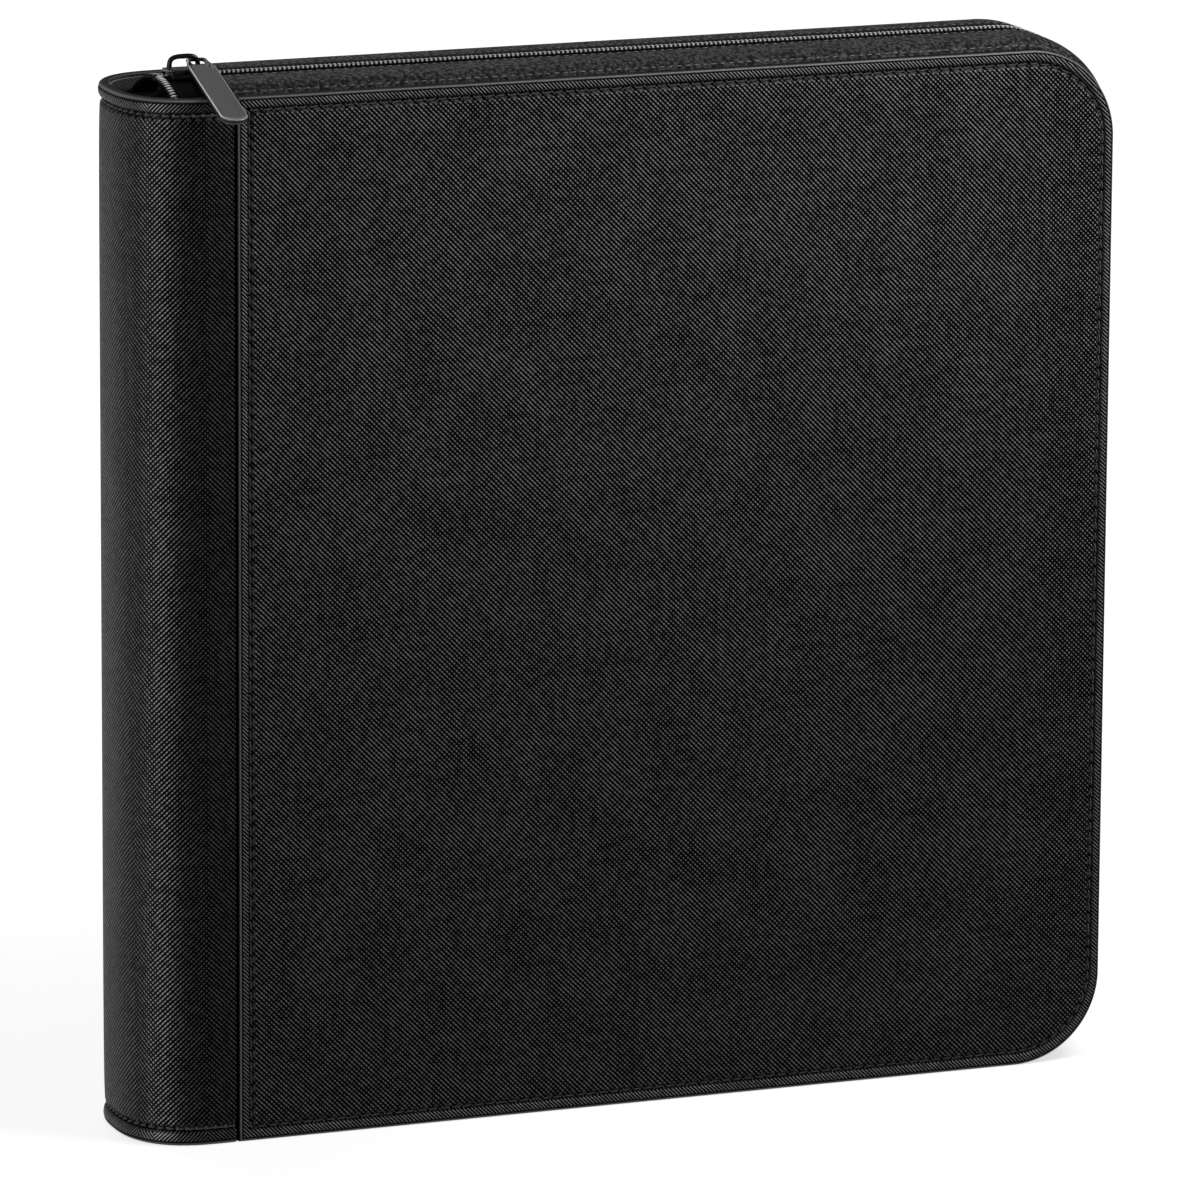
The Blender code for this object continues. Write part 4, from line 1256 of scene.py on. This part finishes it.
# %% [markdown]
# Inside, the boards are grey card, the linings a fine woven cloth, and each leaf a black
# sheet with clear pockets welded on both faces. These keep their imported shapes.

# %% the inside
def pocket_film():
    """Clear film over a black sheet: a dark, glossy face that is never quite flat."""
    material, finish, shader = new_material("pocket film", coat=0.6, coat_roughness=0.12)
    place = finish.place()
    slow, fine = finish.noise(place, 35.0, 2.0), finish.noise(place, 900.0, 3.0)
    lay_on(finish, shader, slow, 0.022, 0.050, finish.span(fine, 0.3, 0.7, 0.22, 0.34),
           finish.scaled(fine, 0.04, slow), 0.0012)
    return material


leaves = [name for name in nodes if name.startswith("leaf_")]
for material, names in (
        (speckled("grey card", 0.16, 0.22, 0.85, 500.0),
         ("spine_board", "front_board", "back_board")),
        (woven("lining cloth", 0.014, 0.052, 1500.0, 0.00006, on_face=True),
         ("spine_lining", "front_lining", "back_lining", "page_binding")),
        (pocket_film(), leaves)):
    dress(material, *[nodes[name] for name in names])
print(f"{len(leaves)} leaves dressed")

# %% [markdown]
# The stage is a pale floor that melts into a white background. A black object shows its
# shape by what it mirrors, so each lamp is broad and soft. The key lamp stands close above
# the front and rakes down the cover, so that the grain shows. A larger one on the left
# lights the spine, and one behind draws the back edge and the top.

# %% the floor
FLOOR_HALF = 6.0
FLOOR_LIFT, FAR_LIFT = 0.70, 0.86
corners = [(-FLOOR_HALF, -FLOOR_HALF, 0), (FLOOR_HALF, -FLOOR_HALF, 0),
           (FLOOR_HALF, FLOOR_HALF, 0), (-FLOOR_HALF, FLOOR_HALF, 0)]
floor_mesh = bpy.data.meshes.new("floor")
floor_mesh.from_pydata(corners, [], [(0, 1, 2, 3)])
floor = bpy.data.objects.new("floor", floor_mesh)
bpy.context.collection.objects.link(floor)


def seen_rays(finish):
    """1 for rays from the camera, off a mirror or through glass."""
    path = finish.add("ShaderNodeLightPath").outputs
    seen = finish.math("ADD", path["Is Camera Ray"], path["Is Glossy Ray"])
    return finish.math("ADD", seen, path["Is Transmission Ray"], clamp=True)


paper = bpy.data.materials.new("paper floor")
paper.use_nodes = True
paper.node_tree.nodes.clear()
finish = Finish(paper.node_tree)
plain = finish.fed("ShaderNodeBsdfDiffuse", {"Color": (0.45, 0.45, 0.45, 1)})[0]
far = finish.fed("ShaderNodeVectorMath", {0: finish.place()}, operation="LENGTH")["Value"]
# Near the middle of the floor, where the binder stands, the lift is lower: a painted shade on the
# floor round the binder.
lift_here = finish.span(far, 0.25, 0.75, FLOOR_LIFT, FAR_LIFT)
lift = finish.fed("ShaderNodeEmission", {"Strength": finish.times(seen_rays(finish), lift_here)})[0]
both = finish.fed("ShaderNodeAddShader", {0: plain, 1: lift})[0]
finish.fed("ShaderNodeOutputMaterial", {"Surface": both})
dress(paper, floor)

# %% the light
AMBIENT = 0.12
world = bpy.data.worlds.new("studio")
bpy.context.scene.world = world
world.use_nodes = True
finish = Finish(world.node_tree)
sky = world.node_tree.nodes["Background"]
sky.inputs["Color"].default_value = (1, 1, 1, 1)
camera_ray = finish.add("ShaderNodeLightPath").outputs["Is Camera Ray"]
finish.feed(sky.inputs["Strength"], finish.span(camera_ray, 0.0, 1.0, AMBIENT, 1.0))
LIT = Vector((0, 0, 0.17))    # the lamps point at the middle of the binder

for name, place, size, power in (("key", (0.30, -0.25, 0.66), 0.30, 3.4),
                                 ("side", (-1.5, -0.6, 0.8), 1.0, 10),
                                 ("back", (-0.2, 1.5, 1.6), 1.2, 20)):
    lamp = bpy.data.lights.new(name, "AREA")
    lamp.shape, lamp.size, lamp.energy = "SQUARE", size, power
    holder = bpy.data.objects.new(name, lamp)
    holder.location = place
    holder.rotation_euler = (LIT - Vector(place)).to_track_quat("-Z", "Y").to_euler()
    bpy.context.collection.objects.link(holder)
    print(f"{name} lamp: {power} W from {size} m square")

# %% [markdown]
# The camera stands well back, a little to the left and above, with a long lens, so the case
# shows its spine, its front and a strip of its top with hardly any narrowing.

# %% the camera
YAW, PITCH, ROLL = math.radians(21.06), math.radians(12.88), math.radians(0.36)
VIEW_PLACE = Vector(SEAM) + Vector((-0.943, -2.754, 0.839))
forward = Vector((math.sin(YAW) * math.cos(PITCH), math.cos(YAW) * math.cos(PITCH),
                  -math.sin(PITCH)))
right = Vector((math.cos(YAW), -math.sin(YAW), 0))
upward = right.cross(forward)
axes = Matrix((math.cos(ROLL) * right + math.sin(ROLL) * upward,
               -math.sin(ROLL) * right + math.cos(ROLL) * upward, -forward))
lens = bpy.data.cameras.new("camera")
lens.sensor_width, lens.lens = 36, 291.0
lens.clip_start, lens.clip_end = 0.1, 50
camera = bpy.data.objects.new("camera", lens)
camera.matrix_world = Matrix.Translation(VIEW_PLACE) @ axes.transposed().to_4x4()
bpy.context.collection.objects.link(camera)
bpy.context.scene.camera = camera
bpy.context.scene.view_settings.view_transform = "Standard"
print(f"the camera stands {(VIEW_PLACE - LIT).length:.2f} m away")
